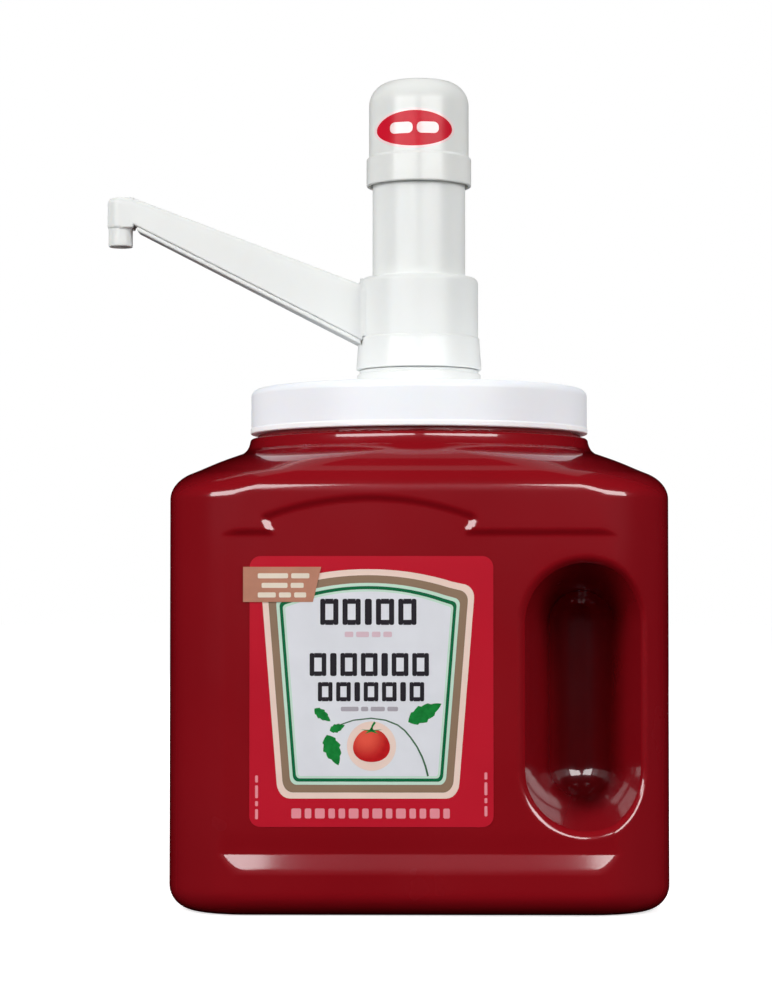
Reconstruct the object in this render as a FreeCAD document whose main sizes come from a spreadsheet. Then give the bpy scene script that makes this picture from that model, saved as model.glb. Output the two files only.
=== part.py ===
import FreeCAD, Part
import math
import os

import Sketcher
from FreeCAD import Placement, Rotation, Vector

# Condiment pump dispenser: a blow-moulded jug with two grip recesses, a wide
# screw lid, and a push pump with a slanted spout that swivels on the lid.
# Millimetres, +Z up.  The origin is the middle of the jug's resting face.
# The labelled front faces -Y and the spout points to -X.

os.makedirs("parts", exist_ok=True)
doc = FreeCAD.newDocument("CondimentPumpDispenser")

# ---------------------------------------------------------------- the sheet
TABLE = [
    # jug
    ("jug_half_wide", 80.4, "half the width of the jug, along X"),
    ("jug_half_deep", 70.4, "half the depth of the jug, along Y"),
    ("jug_corner", 26.0, "plan radius of the upright corners"),
    ("jug_side_top", 131.3, "top of the jug's straight sides"),
    ("jug_shoulder_top", 149.0, "height where the shoulder meets the bead"),
    ("jug_base_round", 8.0, "rounding between side and base"),
    ("jug_wall", 1.2, "wall thickness of the jug"),
    ("bead_rad", 57.3, "radius of the bead under the neck"),
    ("bead_top", 153.2, "top of the bead"),
    ("collar_rad", 54.7, "radius of the smooth collar below the thread"),
    ("collar_low", 153.8, "bottom of the smooth collar"),
    ("collar_top", 155.5, "top of the smooth collar"),
    ("neck_rad", 53.2, "radius of the neck under its thread"),
    ("neck_low", 156.1, "bottom of the threaded neck"),
    ("neck_top", 166.9, "rim of the neck"),
    ("neck_bore", 51.0, "bore radius of the neck"),
    ("pushup_low_rad", 52.0, "radius of the base recess at the resting face"),
    ("pushup_top_rad", 46.0, "radius of the base recess at its roof"),
    ("pushup_deep", 2.5, "height of the base recess"),
    ("panel_deep", 1.0, "depth of the label panel"),
    ("panel_half", 68.0, "half the width of the label panel's cutter"),
    ("panel_low", 16.6, "bottom of the label panel"),
    ("panel_high", 120.2, "top of the straight part of the label panel"),
    ("arch_rad", 49.3, "radius of the arch over the label"),
    ("arch_x", -15.4, "middle of the arch along X"),
    ("arch_z", 82.2, "height of the arch's centre"),
    ("grip_x", 52.4, "middle of the grip recess along X"),
    ("grip_z", 68.8, "middle of the grip recess along Z"),
    ("grip_half", 22.9, "half the straight length of the grip recess"),
    ("grip_mouth", 20.1, "end radius of the grip recess at the face"),
    ("grip_floor", 8.2, "end radius of the grip recess at its floor"),
    ("grip_deep", 36.0, "depth of the grip recess"),
    ("grip_round", 5.0, "rounding of the grip recess's floor"),
    # screw thread between jug and lid
    ("thread_pitch", 5.08, "pitch of the lid thread"),
    ("neck_thread_z", 158.5, "height of the neck thread's centre at angle 0"),
    ("neck_thread_turns", 1.25, "turns of the neck thread"),
    ("neck_thread_crest", 54.75, "crest radius of the neck thread"),
    ("neck_thread_root_w", 3.2, "width of the neck thread at its root"),
    ("neck_thread_crest_w", 1.6, "width of the neck thread at its crest"),
    ("lid_thread_z", 157.39, "height of the lid thread's centre at angle 90"),
    ("lid_thread_turns", 1.1, "turns of the lid thread"),
    ("lid_thread_crest", 53.6, "crest radius of the lid thread"),
    ("lid_thread_root_w", 3.0, "width of the lid thread at its root"),
    ("lid_thread_crest_w", 1.4, "width of the lid thread at its crest"),
    ("thread_bite", 0.4, "how far a thread is sunk in its wall"),
    # lid
    ("lid_rad", 57.0, "outer radius of the lid"),
    ("lid_bore", 55.1, "inner radius of the lid's skirt"),
    ("lid_low", 154.8, "bottom of the lid's skirt"),
    ("lid_under", 168.0, "underside of the lid's top plate"),
    ("lid_top", 170.0, "top of the lid"),
    ("lid_hole", 19.1, "radius of the pump hole in the lid"),
    ("lid_round", 3.5, "rounding of the lid's top edge"),
    ("lid_lip_rad", 57.25, "radius of the small lip at the skirt's bottom"),
    ("lid_lip_top", 156.5, "top of that lip"),
    ("liner_in", 28.0, "inner radius of the liner"),
    ("liner_out", 54.6, "outer radius of the liner"),
    ("liner_low", 166.95, "underside of the liner"),
    ("liner_top", 167.95, "top of the liner"),
    # contents
    ("fill_gap", 0.15, "gap between the contents and the wall"),
    ("fill_tube_rad", 7.3, "radius left free round the dip tube"),
    ("fill_barrel_rad", 9.8, "radius left free round the barrel's spigot"),
    ("fill_tube_low", 6.0, "bottom of the space left free round the tube"),
    # labels
    ("label_left", -53.2, "left edge of the front label"),
    ("label_right", 23.3, "right edge of the front label"),
    ("label_low", 28.2, "bottom edge of the labels"),
    ("label_high", 113.0, "top edge of the labels"),
    ("label_corner", 3.5, "corner radius of the labels"),
    ("label_thick", 0.15, "thickness of the labels"),
    ("flag_left", -55.2, "left edge of the corner flag"),
    ("flag_right_high", -30.7, "right end of the flag's upper edge"),
    ("flag_right_low", -33.3, "right end of the flag's lower edge"),
    ("flag_low", 98.6, "bottom edge of the flag"),
    ("flag_high", 109.6, "top edge of the flag"),
    ("flag_thick", 0.12, "thickness of the flag"),
    ("badge_wide", 27.0, "width of the knob's badge"),
    ("badge_high", 13.6, "height of the knob's badge"),
    ("badge_z", 257.1, "height of the badge's middle"),
    ("badge_x", -1.5, "middle of the badge along X"),
    ("badge_in", 17.02, "inner radius of the badge"),
    ("badge_out", 17.2, "outer radius of the badge"),
    # swivel ring and gasket on the lid
    ("gasket_in", 19.1, "inner radius of the pump gasket"),
    ("gasket_out", 21.6, "outer radius of the pump gasket"),
    ("gasket_top", 170.8, "top of the pump gasket"),
    ("ring_rad", 21.0, "outer radius of the swivel ring"),
    ("ring_shoulder", 175.1, "top of the swivel ring's wide part"),
    ("ring_neck_low", 175.7, "bottom of the swivel ring's narrow part"),
    ("ring_neck_rad", 20.2, "radius of the swivel ring's narrow part"),
    ("ring_top", 176.6, "top of the swivel ring"),
    # pump body
    ("body_low", 176.8, "bottom of the pump body"),
    ("body_foot_rad", 21.3, "radius of the pump body's foot"),
    ("body_foot_top", 178.5, "top of the foot"),
    ("body_foot_top_rad", 21.2, "radius at the top of the foot"),
    ("body_bead_z", 186.7, "height of the bead round the body"),
    ("body_bead_rad", 20.6, "radius of that bead"),
    ("body_bead_top", 187.5, "top of that bead"),
    ("body_rad", 20.15, "outer radius of the pump body"),
    ("body_top", 208.2, "top of the pump body"),
    ("body_round", 3.5, "rounding of the body's top edge"),
    ("body_mouth", 15.95, "radius of the mouth for the sleeve"),
    ("body_lip_low", 205.7, "underside of the lip at the mouth"),
    ("body_bore", 17.8, "bore radius of the pump body"),
    ("body_socket", 19.02, "radius of the socket over the barrel"),
    ("body_socket_top", 184.55, "top of that socket"),
    ("port_rad", 4.4, "radius of the outlet port"),
    # gland, wiper, sleeve, plug
    ("gland_in", 15.9, "inner radius of the gland ring"),
    ("gland_out", 17.75, "outer radius of gland ring and wiper"),
    ("gland_low", 199.7, "bottom of the gland ring"),
    ("wiper_low", 202.7, "bottom of the wiper seal"),
    ("wiper_in", 15.83, "inner radius of the wiper seal"),
    ("wiper_top", 205.7, "top of the wiper seal"),
    ("sleeve_in", 14.3, "inner radius of the plunger sleeve"),
    ("sleeve_out", 15.8, "outer radius of the plunger sleeve"),
    ("sleeve_low", 199.6, "bottom of the plunger sleeve"),
    ("sleeve_top", 265.0, "top of the plunger sleeve"),
    ("plug_low", 197.1, "underside of the plug's flange"),
    ("plug_flange", 17.2, "radius of the plug's flange"),
    ("plug_rad", 14.25, "radius of the plug's spigot"),
    ("plug_top", 209.5, "top of the plug's spigot"),
    ("plug_groove", 12.6, "radius at the bottom of the ring groove"),
    ("plug_groove_low", 202.7, "bottom of the ring groove"),
    ("plug_groove_high", 204.9, "top of the ring groove"),
    ("plug_core", 11.0, "radius of the hollow in the plug's spigot"),
    ("plug_core_low", 200.1, "floor of that hollow"),
    ("oring_mean", 13.43, "mean radius of the plug's ring seal"),
    ("oring_wire", 0.8, "section radius of the plug's ring seal"),
    ("oring_z", 203.8, "height of the plug's ring seal"),
    # knob
    ("knob_top", 275.3, "top of the knob"),
    ("knob_rad", 17.0, "radius of the knob's upper part"),
    ("knob_round", 9.0, "rounding of the knob's top edge"),
    ("knob_step_high", 249.7, "top of the step above the band"),
    ("knob_step_low", 248.9, "bottom of that step"),
    ("knob_band", 17.85, "radius of the knob's lower band"),
    ("knob_low", 239.5, "rim of the knob"),
    ("knob_rim_bore", 16.7, "bore radius at the rim"),
    ("knob_rim_top", 247.0, "top of that bore"),
    ("knob_fit_low", 247.8, "bottom of the fit on the sleeve"),
    ("knob_fit", 15.85, "bore radius of the fit on the sleeve"),
    ("knob_cap_bore", 14.9, "radius of the hollow above the sleeve"),
    ("knob_cap_top", 273.4, "roof of that hollow"),
    ("knob_cap_round", 7.0, "rounding of that hollow"),
    # barrel
    ("spigot_low", 125.5, "bottom of the barrel's spigot"),
    ("spigot_rad", 9.5, "outer radius of the spigot"),
    ("spigot_bore", 7.05, "bore radius of the spigot"),
    ("spigot_stop", 139.5, "stop for the dip tube"),
    ("inlet_rad", 4.6, "radius of the inlet hole"),
    ("inlet_top", 141.5, "top of the inlet hole"),
    ("seat_top", 145.0, "top of the ball seat"),
    ("well_rad", 7.4, "radius of the ball's well"),
    ("barrel_floor", 153.5, "floor of the barrel"),
    ("barrel_bore", 17.5, "bore radius of the barrel"),
    ("barrel_top", 183.5, "top of the barrel"),
    ("barrel_rad", 19.0, "outer radius of the barrel"),
    ("barrel_cone_high", 152.0, "top of the barrel's cone"),
    ("barrel_cone_low", 148.5, "bottom of the barrel's cone"),
    ("bseal_in", 17.85, "inner radius of the barrel seal"),
    ("bseal_top", 184.5, "top of the barrel seal"),
    ("nut_bore", 19.03, "bore radius of the lock nut"),
    ("nut_rad", 25.0, "outer radius of the lock nut"),
    ("nut_low", 162.0, "bottom of the lock nut"),
    ("nut_top", 167.8, "top of the lock nut"),
    ("nut_notch_wide", 5.0, "width of the nut's notches"),
    ("nut_notch_in", 22.6, "radius at the bottom of the notches"),
    ("nut_notches", 8, "number of notches"),
    ("tube_in", 5.6, "inner radius of the dip tube"),
    ("tube_out", 7.0, "outer radius of the dip tube"),
    ("tube_low", 8.0, "bottom of the dip tube"),
    ("ball_rad", 6.0, "radius of the inlet ball"),
    ("ball_z", 145.38, "height of the inlet ball's centre on its seat"),
    ("cage_out", 9.4, "outer radius of the valve cage"),
    ("cage_top", 156.7, "top of the valve cage"),
    ("cage_bar_low", 155.1, "underside of the cage's bars"),
    ("cage_bar_wide", 2.4, "width of the cage's bars"),
    # return spring
    ("spring_mean", 12.0, "mean radius of the return spring"),
    ("spring_wire", 0.9, "wire radius of the return spring"),
    ("spring_flats", 12, "flats round the wire of the return spring"),
    ("spring_low", 154.48, "height of the wire's centre at the bottom"),
    ("spring_high", 196.1, "height of the wire's centre at the top"),
    ("spring_turns", 6.5, "coils of the return spring"),
    # spout; distances run from the pump's axis towards -X
    ("arm_near", 17.0, "distance where the arm's outline begins"),
    ("arm_far", 97.9, "distance where the taper ends"),
    ("arm_low_near", 183.8, "bottom line of the spout at arm_near"),
    ("arm_low_far", 225.2, "bottom line of the spout at arm_far"),
    ("arm_top_near", 204.6, "top line of the spout at arm_near"),
    ("arm_top_far", 235.9, "top line of the spout at arm_far"),
    ("arm_wide_near", 17.0, "width of the arm at arm_near"),
    ("arm_wide_far", 9.3, "width of the arm at arm_far"),
    ("arm_wall", 1.3, "wall thickness of the arm"),
    ("cover_thick", 1.5, "thickness of the cover strip, measured upright"),
    ("cover_gap", 0.05, "gap between cover strip and arm"),
    ("cover_far", 95.9, "distance where the cover strip ends"),
    ("nozzle_x", 101.7, "distance of the nozzle's axis"),
    ("nozzle_rad", 4.65, "outer radius of the nozzle"),
    ("nozzle_bore", 3.0, "bore radius of the nozzle"),
    ("nozzle_low", 219.1, "outlet of the nozzle"),
    ("nozzle_round", 1.8, "rounding of the nozzle's top edge"),
    ("chan_near", 34.0, "distance where the channel begins"),
    ("chan_tip_roof", 233.0, "roof of the channel over the nozzle"),
    ("chan_tip_wide", 6.0, "width of the channel over the nozzle"),
    ("root_rad", 5.6, "radius of the valve bore in the arm's root"),
    ("root_deep", 18.0, "depth of that bore along the arm"),
    ("arm_tilt", 23.75, "angle of the arm above the horizontal"),
    ("arm_start_x", 20.15, "distance where the arm's axis leaves the body"),
    ("arm_start_z", 194.8, "height where the arm's axis leaves the body"),
    ("arm_fit", 20.2, "radius that the arm's root is cut to"),
    ("arm_foot_fit", 20.76, "the same, beside the body's bead"),
    ("oseat_rad", 5.58, "outer radius of the outlet seat"),
    ("oseat_near", 2.5, "start of the outlet seat along the arm"),
    ("oseat_far", 7.5, "end of the outlet seat along the arm"),
    ("oseat_bore", 2.8, "bore radius of the outlet seat"),
    ("oseat_mouth", 5.0, "radius of the seat's cone at its wide end"),
    ("oball_rad", 4.5, "radius of the outlet ball"),
    ("oball_s", 8.884, "place of the outlet ball's centre along the arm"),
]

# Sections of the rounded shoulder, from the straight sides up to the bead:
# height, half width, half depth, corner radius.
SHOULDER = [
    (133.0, 80.25, 70.40, 26), (135.0, 79.69, 70.19, 27.1),
    (137.0, 78.61, 69.54, 31.3), (138.8, 77.01, 68.51, 35.2),
    (140.3, 74.75, 67.18, 38.4), (144.5, 66.28, 62.37, 47.4),
]
for number, section in enumerate(SHOULDER, 1):
    for kind, value in zip(("height", "wide", "deep", "corner"), section):
        TABLE.append(("shoulder_%s_%d" % (kind, number), value,
                      "shoulder section %d, %s" % (number, kind)))

sheet = doc.addObject("Spreadsheet::Sheet", "Dims")
for row, (alias, value, note) in enumerate(TABLE, 1):
    sheet.set("A%d" % row, note)
    sheet.set("B%d" % row, str(value))
    sheet.setAlias("B%d" % row, alias)
doc.recompute()


class Size:
    """A size: its present value, and the expression that drives it."""

    def __init__(self, value, text):
        self.value = float(value)
        self.text = text

    def __add__(self, other):
        other = size(other)
        return Size(self.value + other.value,
                    "(%s + %s)" % (self.text, other.text))

    __radd__ = __add__

    def __sub__(self, other):
        other = size(other)
        return Size(self.value - other.value,
                    "(%s - %s)" % (self.text, other.text))

    def __rsub__(self, other):
        return size(other) - self

    def __mul__(self, other):
        other = size(other)
        return Size(self.value * other.value,
                    "(%s * %s)" % (self.text, other.text))

    __rmul__ = __mul__

    def __truediv__(self, other):
        other = size(other)
        return Size(self.value / other.value,
                    "(%s / %s)" % (self.text, other.text))

    def __neg__(self):
        return Size(-self.value, "(0 - %s)" % self.text)


def size(thing):
    return thing if isinstance(thing, Size) else Size(thing, repr(float(thing)))


class Cells:
    def __init__(self, table):
        self._table = {alias: value for alias, value, note in table}

    def __getattr__(self, alias):
        return Size(self._table[alias], "Dims." + alias)


d = Cells(TABLE)
ZERO = size(0)


def bind(thing, **sizes):
    """Set properties, each driven from the sheet."""
    for name, wanted in sizes.items():
        wanted = size(wanted)
        setattr(thing, name, wanted.value)
        if "Dims." in wanted.text:
            thing.setExpression(name, wanted.text)
    return thing


def place(thing, x=ZERO, y=ZERO, z=ZERO, turn=None):
    """Placement of an object; its offsets are driven from the sheet."""
    x, y, z = size(x), size(y), size(z)
    thing.Placement = Placement(Vector(x.value, y.value, z.value),
                                turn or Rotation())
    for axis, wanted in (("x", x), ("y", y), ("z", z)):
        if "Dims." in wanted.text:
            thing.setExpression("Placement.Base." + axis, wanted.text)
    return thing


def add_outline(sketch, corners):
    """A closed outline, given anticlockwise.  A corner is (x, y), followed by
    a line, or (x, y, centre x, centre y, "x" or "y"), followed by an
    anticlockwise arc whose centre is held by the coordinate named."""
    corners = [tuple(size(v) if not isinstance(v, str) else v for v in c)
               for c in corners]
    total = len(corners)
    shapes, rules, driven = [], [], []
    for index, corner in enumerate(corners):
        after = corners[(index + 1) % total]
        start = Vector(corner[0].value, corner[1].value, 0)
        end = Vector(after[0].value, after[1].value, 0)
        if len(corner) == 2:
            shapes.append(Part.LineSegment(start, end))
        else:
            centre = Vector(corner[2].value, corner[3].value, 0)
            one = math.atan2(start.y - centre.y, start.x - centre.x)
            two = math.atan2(end.y - centre.y, end.x - centre.x)
            if two <= one:
                two += 2 * math.pi
            circle = Part.Circle(centre, Vector(0, 0, 1),
                                 (start - centre).Length)
            shapes.append(Part.ArcOfCircle(circle, one, two))
    sketch.addGeometry(shapes, False)
    for index, corner in enumerate(corners):
        rules.append(Sketcher.Constraint("Coincident", index, 2,
                                         (index + 1) % total, 1))
    for index, corner in enumerate(corners):
        for kind, axis, wanted in (("DistanceX", -2, corner[0]),
                                   ("DistanceY", -1, corner[1])):
            if abs(wanted.value) < 1e-9 and "Dims." not in wanted.text:
                rules.append(Sketcher.Constraint("PointOnObject", index, 1,
                                                 axis))
                continue
            rules.append(Sketcher.Constraint(kind, -1, 1, index, 1,
                                             wanted.value))
            driven.append((len(rules) - 1, wanted))
        if len(corner) > 2:
            wanted = corner[2] if corner[4] == "x" else corner[3]
            kind = "DistanceX" if corner[4] == "x" else "DistanceY"
            rules.append(Sketcher.Constraint(kind, -1, 1, index, 3,
                                             wanted.value))
            driven.append((len(rules) - 1, wanted))
    sketch.addConstraint(rules)
    for index, wanted in driven:
        if "Dims." in wanted.text:
            sketch.setExpression("Constraints[%d]" % index, wanted.text)


def origin_plane(body, role):
    for feature in body.Origin.OriginFeatures:
        if feature.Role == role:
            return feature
    raise ValueError(role)


def new_body(label):
    body = doc.addObject("PartDesign::Body", label)
    body.Label = label
    return body


def sketch_in(body, name, role, corners, lift=ZERO):
    """A sketch on one of the body's own origin planes, lifted along it."""
    sketch = body.newObject("Sketcher::SketchObject", name)
    sketch.AttachmentSupport = (origin_plane(body, role), [""])
    sketch.MapMode = "FlatFace"
    lift = size(lift)
    sketch.AttachmentOffset = Placement(Vector(0, 0, lift.value), Rotation())
    if "Dims." in lift.text:
        sketch.setExpression("AttachmentOffset.Base.z", lift.text)
    add_outline(sketch, corners)
    sketch.Visibility = False
    return sketch


def edge_names(shape, wanted):
    return ["Edge%d" % (i + 1) for i, edge in enumerate(shape.Edges)
            if wanted(edge)]


def ring_edges(shape, radius, height):
    def wanted(edge):
        curve = edge.Curve
        return (isinstance(curve, Part.Circle)
                and abs(curve.Radius - radius) < 1e-4
                and abs(curve.Center.z - height) < 1e-4
                and abs(curve.Center.x) < 1e-6)
    return edge_names(shape, wanted)


def round_off(body, name, radius, names):
    if not names:
        raise ValueError("no edges for " + name)
    before = body.Tip
    fillet = body.newObject("PartDesign::Fillet", name)
    fillet.Base = (before, names)
    bind(fillet, Radius=radius)
    doc.recompute()
    return fillet


def turned(label, base, corners, rounds=()):
    """A piece turned about Z.  Heights are given in the dispenser's frame;
    base is the height of the piece's own origin."""
    base = size(base)
    corners = [(size(r), size(z) - base) for r, z in corners]
    area = 0.0
    for one, two in zip(corners, corners[1:] + corners[:1]):
        area += one[0].value * two[1].value - two[0].value * one[1].value
    if area < 0:
        corners.reverse()
    body = new_body(label)
    sketch = sketch_in(body, label + "_profile", "XZ_Plane", corners)
    spin = body.newObject("PartDesign::Revolution", label + "_turn")
    spin.Profile = sketch
    spin.ReferenceAxis = (sketch, ["V_Axis"])
    spin.Angle = 360
    doc.recompute()
    for count, (r, z, radius) in enumerate(rounds, 1):
        names = ring_edges(body.Tip.Shape, size(r).value,
                           size(z).value - base.value)
        round_off(body, "%s_round%d" % (label, count), radius, names)
    place(body, z=base)
    return body


def tube_corners(inner, outer, low, high):
    return [(inner, low), (outer, low), (outer, high), (inner, high)]


def boxed(name, x, y, z, length, width, height):
    box = doc.addObject("Part::Box", name)
    bind(box, Length=length, Width=width, Height=height)
    return place(box, x, y, z)


def drum(name, radius, height, x=ZERO, y=ZERO, z=ZERO, turn=None):
    cylinder = doc.addObject("Part::Cylinder", name)
    bind(cylinder, Radius=radius, Height=height)
    return place(cylinder, x, y, z, turn)


def fused(label, pieces):
    fuse = doc.addObject("Part::MultiFuse", label)
    fuse.Label = label
    fuse.Shapes = pieces
    return fuse


def cut(label, base, tools):
    tool = tools[0] if len(tools) == 1 else fused(label + "_tools", tools)
    piece = doc.addObject("Part::Cut", label)
    piece.Label = label
    piece.Base = base
    piece.Tool = tool
    return piece


# ------------------------------------------------------------------- the jug
def round_rectangle(half_x, half_y, radius):
    """Corners of a rounded rectangle about the origin, anticlockwise."""
    in_x, in_y = half_x - radius, half_y - radius
    return [
        (half_x, -in_y), (half_x, in_y, in_x, in_y, "x"),
        (in_x, half_y), (-in_x, half_y, -in_x, in_y, "x"),
        (-half_x, in_y), (-half_x, -in_y, -in_x, -in_y, "x"),
        (-in_x, -half_y), (in_x, -half_y, in_x, -in_y, "x"),
    ]


def stadium(x, z, half, radius):
    """Corners of an upright slot with round ends, anticlockwise."""
    return [
        (x + radius, z - half), (x + radius, z + half, x, z + half, "y"),
        (x - radius, z + half), (x - radius, z - half, x, z - half, "y"),
    ]


GRIP_SLOPE = (d.grip_mouth - d.grip_floor) / d.grip_deep
GRIP_LEAN = 1.0532          # length of the slanted wall per unit of depth


def grip_tool(name, inset, side):
    """The space of one grip recess, with its walls moved out by inset.
    It is drawn at the back (+Y); the front one is turned over about X, on
    the height of its middle."""
    body = new_body(name)
    outside = d.jug_half_deep + 3.0
    floor = d.jug_half_deep - d.grip_deep - inset
    mouth_r = d.grip_mouth + GRIP_SLOPE * 3.0 + inset * GRIP_LEAN
    floor_r = d.grip_floor + inset * (GRIP_LEAN - GRIP_SLOPE)
    wide = sketch_in(body, name + "_mouth", "XZ_Plane",
                     stadium(d.grip_x, d.grip_z, d.grip_half, mouth_r),
                     -outside)
    narrow = sketch_in(body, name + "_floor", "XZ_Plane",
                       stadium(d.grip_x, d.grip_z, d.grip_half, floor_r),
                       -floor)
    loft = body.newObject("PartDesign::AdditiveLoft", name + "_loft")
    loft.Profile = wide
    loft.Sections = [narrow]
    loft.Ruled = True
    doc.recompute()
    whole = loft.Shape.Volume
    level = floor.value

    def at_floor(edge):
        return all(abs(v.Point.y - level) < 1e-5 for v in edge.Vertexes)
    fillet = round_off(body, name + "_round", d.grip_round,
                       edge_names(body.Tip.Shape, at_floor))
    assert fillet.Shape.isValid() and 0 < whole - fillet.Shape.Volume < 900
    if side > 0:
        place(body, z=d.grip_z * 2.0, turn=Rotation(Vector(1, 0, 0), 180))
    else:
        place(body)
    return body


def panel_tool(name, inset, side):
    """The shallow label panel: a box with an arch, moved out by inset."""
    deep = 5.0 + d.panel_deep + inset
    face = d.jug_half_deep - d.panel_deep - inset
    low_y = face if side < 0 else -face - deep
    box = boxed(name + "_box", -d.panel_half - inset, low_y,
                d.panel_low - inset, (d.panel_half + inset) * 2.0, deep,
                d.panel_high - d.panel_low + inset * 2.0)
    arch = drum(name + "_arch", d.arch_rad + inset, deep, d.arch_x,
                low_y + deep, d.arch_z, Rotation(Vector(1, 0, 0), 90))
    return fused(name, [box, arch])


def jug_block(name, inset, base, top, top_rad):
    """The jug's outer form, with every wall moved in by inset."""
    body = new_body(name + "_form")
    half_x = d.jug_half_wide - inset
    half_y = d.jug_half_deep - inset
    corner = d.jug_corner - inset
    side_top = d.jug_side_top - inset * 0.666
    foot = sketch_in(body, name + "_foot", "XY_Plane",
                     round_rectangle(half_x, half_y, corner), base)
    pad = body.newObject("PartDesign::Pad", name + "_sides")
    pad.Profile = foot
    bind(pad, Length=side_top - base)
    doc.recompute()
    sections = [sketch_in(body, name + "_section0", "XY_Plane",
                          round_rectangle(half_x, half_y, corner), side_top)]
    for number in range(1, len(SHOULDER) + 1):
        height, wide, deep, turn = (
            getattr(d, "shoulder_%s_%d" % (kind, number))
            for kind in ("height", "wide", "deep", "corner"))
        sections.append(sketch_in(
            body, "%s_section%d" % (name, number), "XY_Plane",
            round_rectangle(wide - inset, deep - inset, turn - inset),
            height - inset * 0.666))
    sections.append(sketch_in(
        body, name + "_section_top", "XY_Plane",
        round_rectangle(top_rad - 0.1, top_rad - 0.1, top_rad - 0.3), top))
    loft = body.newObject("PartDesign::AdditiveLoft", name + "_shoulder")
    loft.Profile = sections[0]
    loft.Sections = sections[1:]
    loft.Ruled = True
    doc.recompute()

    def flat_at(height):
        def wanted(edge):
            return all(abs(v.Point.z - height) < 1e-5 for v in edge.Vertexes)
        return wanted
    round_off(body, name + "_base_round", d.jug_base_round - inset,
              edge_names(body.Tip.Shape, flat_at(size(base).value)))
    place(body)
    push = doc.addObject("Part::Cone", name + "_pushup")
    bind(push, Radius1=d.pushup_low_rad + inset * 1.25,
         Radius2=d.pushup_top_rad + inset * 1.25,
         Height=d.pushup_deep + 1e-3)
    place(push, z=base - 1e-3)
    return cut(name, body, [
        panel_tool(name + "_panel_front", inset, 1),
        panel_tool(name + "_panel_back", inset, -1),
        grip_tool(name + "_grip_front", inset, 1),
        grip_tool(name + "_grip_back", inset, -1), push])


def thread(name, root, crest, root_w, crest_w, z, turns, turn_at, bite):
    """A helical thread; bite carries its root into the wall."""
    helix = doc.addObject("Part::Helix", name + "_helix")
    bind(helix, Pitch=d.thread_pitch, Height=d.thread_pitch * turns,
         Radius=root)
    spin = Rotation(Vector(0, 0, 1), turn_at)
    place(helix, z=z, turn=spin)
    section = doc.addObject("Sketcher::SketchObject", name + "_section")
    lead = root_w / 2 + (root_w - crest_w) / 2 / (crest - root) * bite
    inner = root - bite
    corners = [(inner, -lead), (crest, -crest_w / 2), (crest, crest_w / 2),
               (inner, lead)]
    if crest.value < root.value:
        corners.reverse()
    add_outline(section, corners)
    place(section, z=z,
          turn=spin.multiply(Rotation(Vector(1, 0, 0), 90)))
    section.Visibility = False
    doc.recompute()
    sweep = doc.addObject("Part::Sweep", name)
    sweep.Sections = [section]
    sweep.Spine = (helix, ["Edge%d" % (i + 1)
                           for i in range(len(helix.Shape.Edges))])
    sweep.Solid = True
    sweep.Frenet = True
    doc.recompute()
    return sweep


outer_block = jug_block("jug_outside", ZERO, ZERO, d.jug_shoulder_top,
                        d.bead_rad)
inner_block = jug_block("jug_inside", d.jug_wall, d.jug_wall,
                        d.jug_shoulder_top - 0.9, d.bead_rad - 1.8)
neck_outside = turned("neck_outside", ZERO, [
    (0, d.jug_shoulder_top - 2.5), (d.bead_rad, d.jug_shoulder_top - 2.5),
    (d.bead_rad, d.bead_top), (d.collar_rad, d.collar_low),
    (d.collar_rad, d.collar_top), (d.neck_rad, d.neck_low),
    (d.neck_rad, d.neck_top), (0, d.neck_top)])
neck_inside = turned("neck_inside", ZERO, [
    (0, d.jug_shoulder_top - 2.5), (d.bead_rad - 3.3, d.jug_shoulder_top - 2.5),
    (d.bead_rad - 2.4, d.jug_shoulder_top - 0.9),
    (d.neck_bore, d.bead_top - 0.7), (d.neck_bore, d.neck_top + 1.0),
    (0, d.neck_top + 1.0)])
neck_thread = thread("neck_thread", d.neck_rad, d.neck_thread_crest,
                     d.neck_thread_root_w, d.neck_thread_crest_w,
                     d.neck_thread_z, d.neck_thread_turns, 0, d.thread_bite)
jug_shell = cut("jug_shell",
                fused("jug_solid", [outer_block, neck_outside, neck_thread]),
                [fused("jug_hollow", [inner_block, neck_inside])])

# the contents, with room for the pump's barrel and dip tube
fill_inset = d.jug_wall + d.fill_gap
fill_block = jug_block("fill_form", fill_inset, fill_inset,
                       d.jug_shoulder_top - 1.0, d.bead_rad - 1.95)
ketchup_fill = cut("ketchup_fill", fill_block, [
    drum("fill_tube_space", d.fill_tube_rad, 160.0, z=d.fill_tube_low),
    drum("fill_spigot_space", d.fill_barrel_rad, 60.0, z=d.spigot_low - 1.0),
    drum("fill_barrel_space", d.barrel_rad + 0.3, 30.0,
         z=d.barrel_cone_low - 1.0)])

# ----------------------------------------------------------------- the labels
label_face = d.jug_half_deep - d.panel_deep


def label(name, left, right, side):
    body = new_body(name)
    in_x, in_z = d.label_corner, d.label_corner
    corners = [
        (right, d.label_low + in_z),
        (right, d.label_high - in_z, right - in_x, d.label_high - in_z, "x"),
        (right - in_x, d.label_high),
        (left + in_x, d.label_high, left + in_x, d.label_high - in_z, "x"),
        (left, d.label_high - in_z),
        (left, d.label_low + in_z, left + in_x, d.label_low + in_z, "x"),
        (left + in_x, d.label_low),
        (right - in_x, d.label_low, right - in_x, d.label_low + in_z, "x"),
    ]
    sketch = sketch_in(body, name + "_outline", "XZ_Plane", corners)
    pad = body.newObject("PartDesign::Pad", name + "_pad")
    pad.Profile = sketch
    bind(pad, Length=d.label_thick)
    doc.recompute()
    place(body, y=-label_face if side > 0 else label_face + d.label_thick)
    return body


front_label = label("front_label", d.label_left, d.label_right, 1)
back_label = label("back_label", d.label_left, d.label_right, -1)

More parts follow.
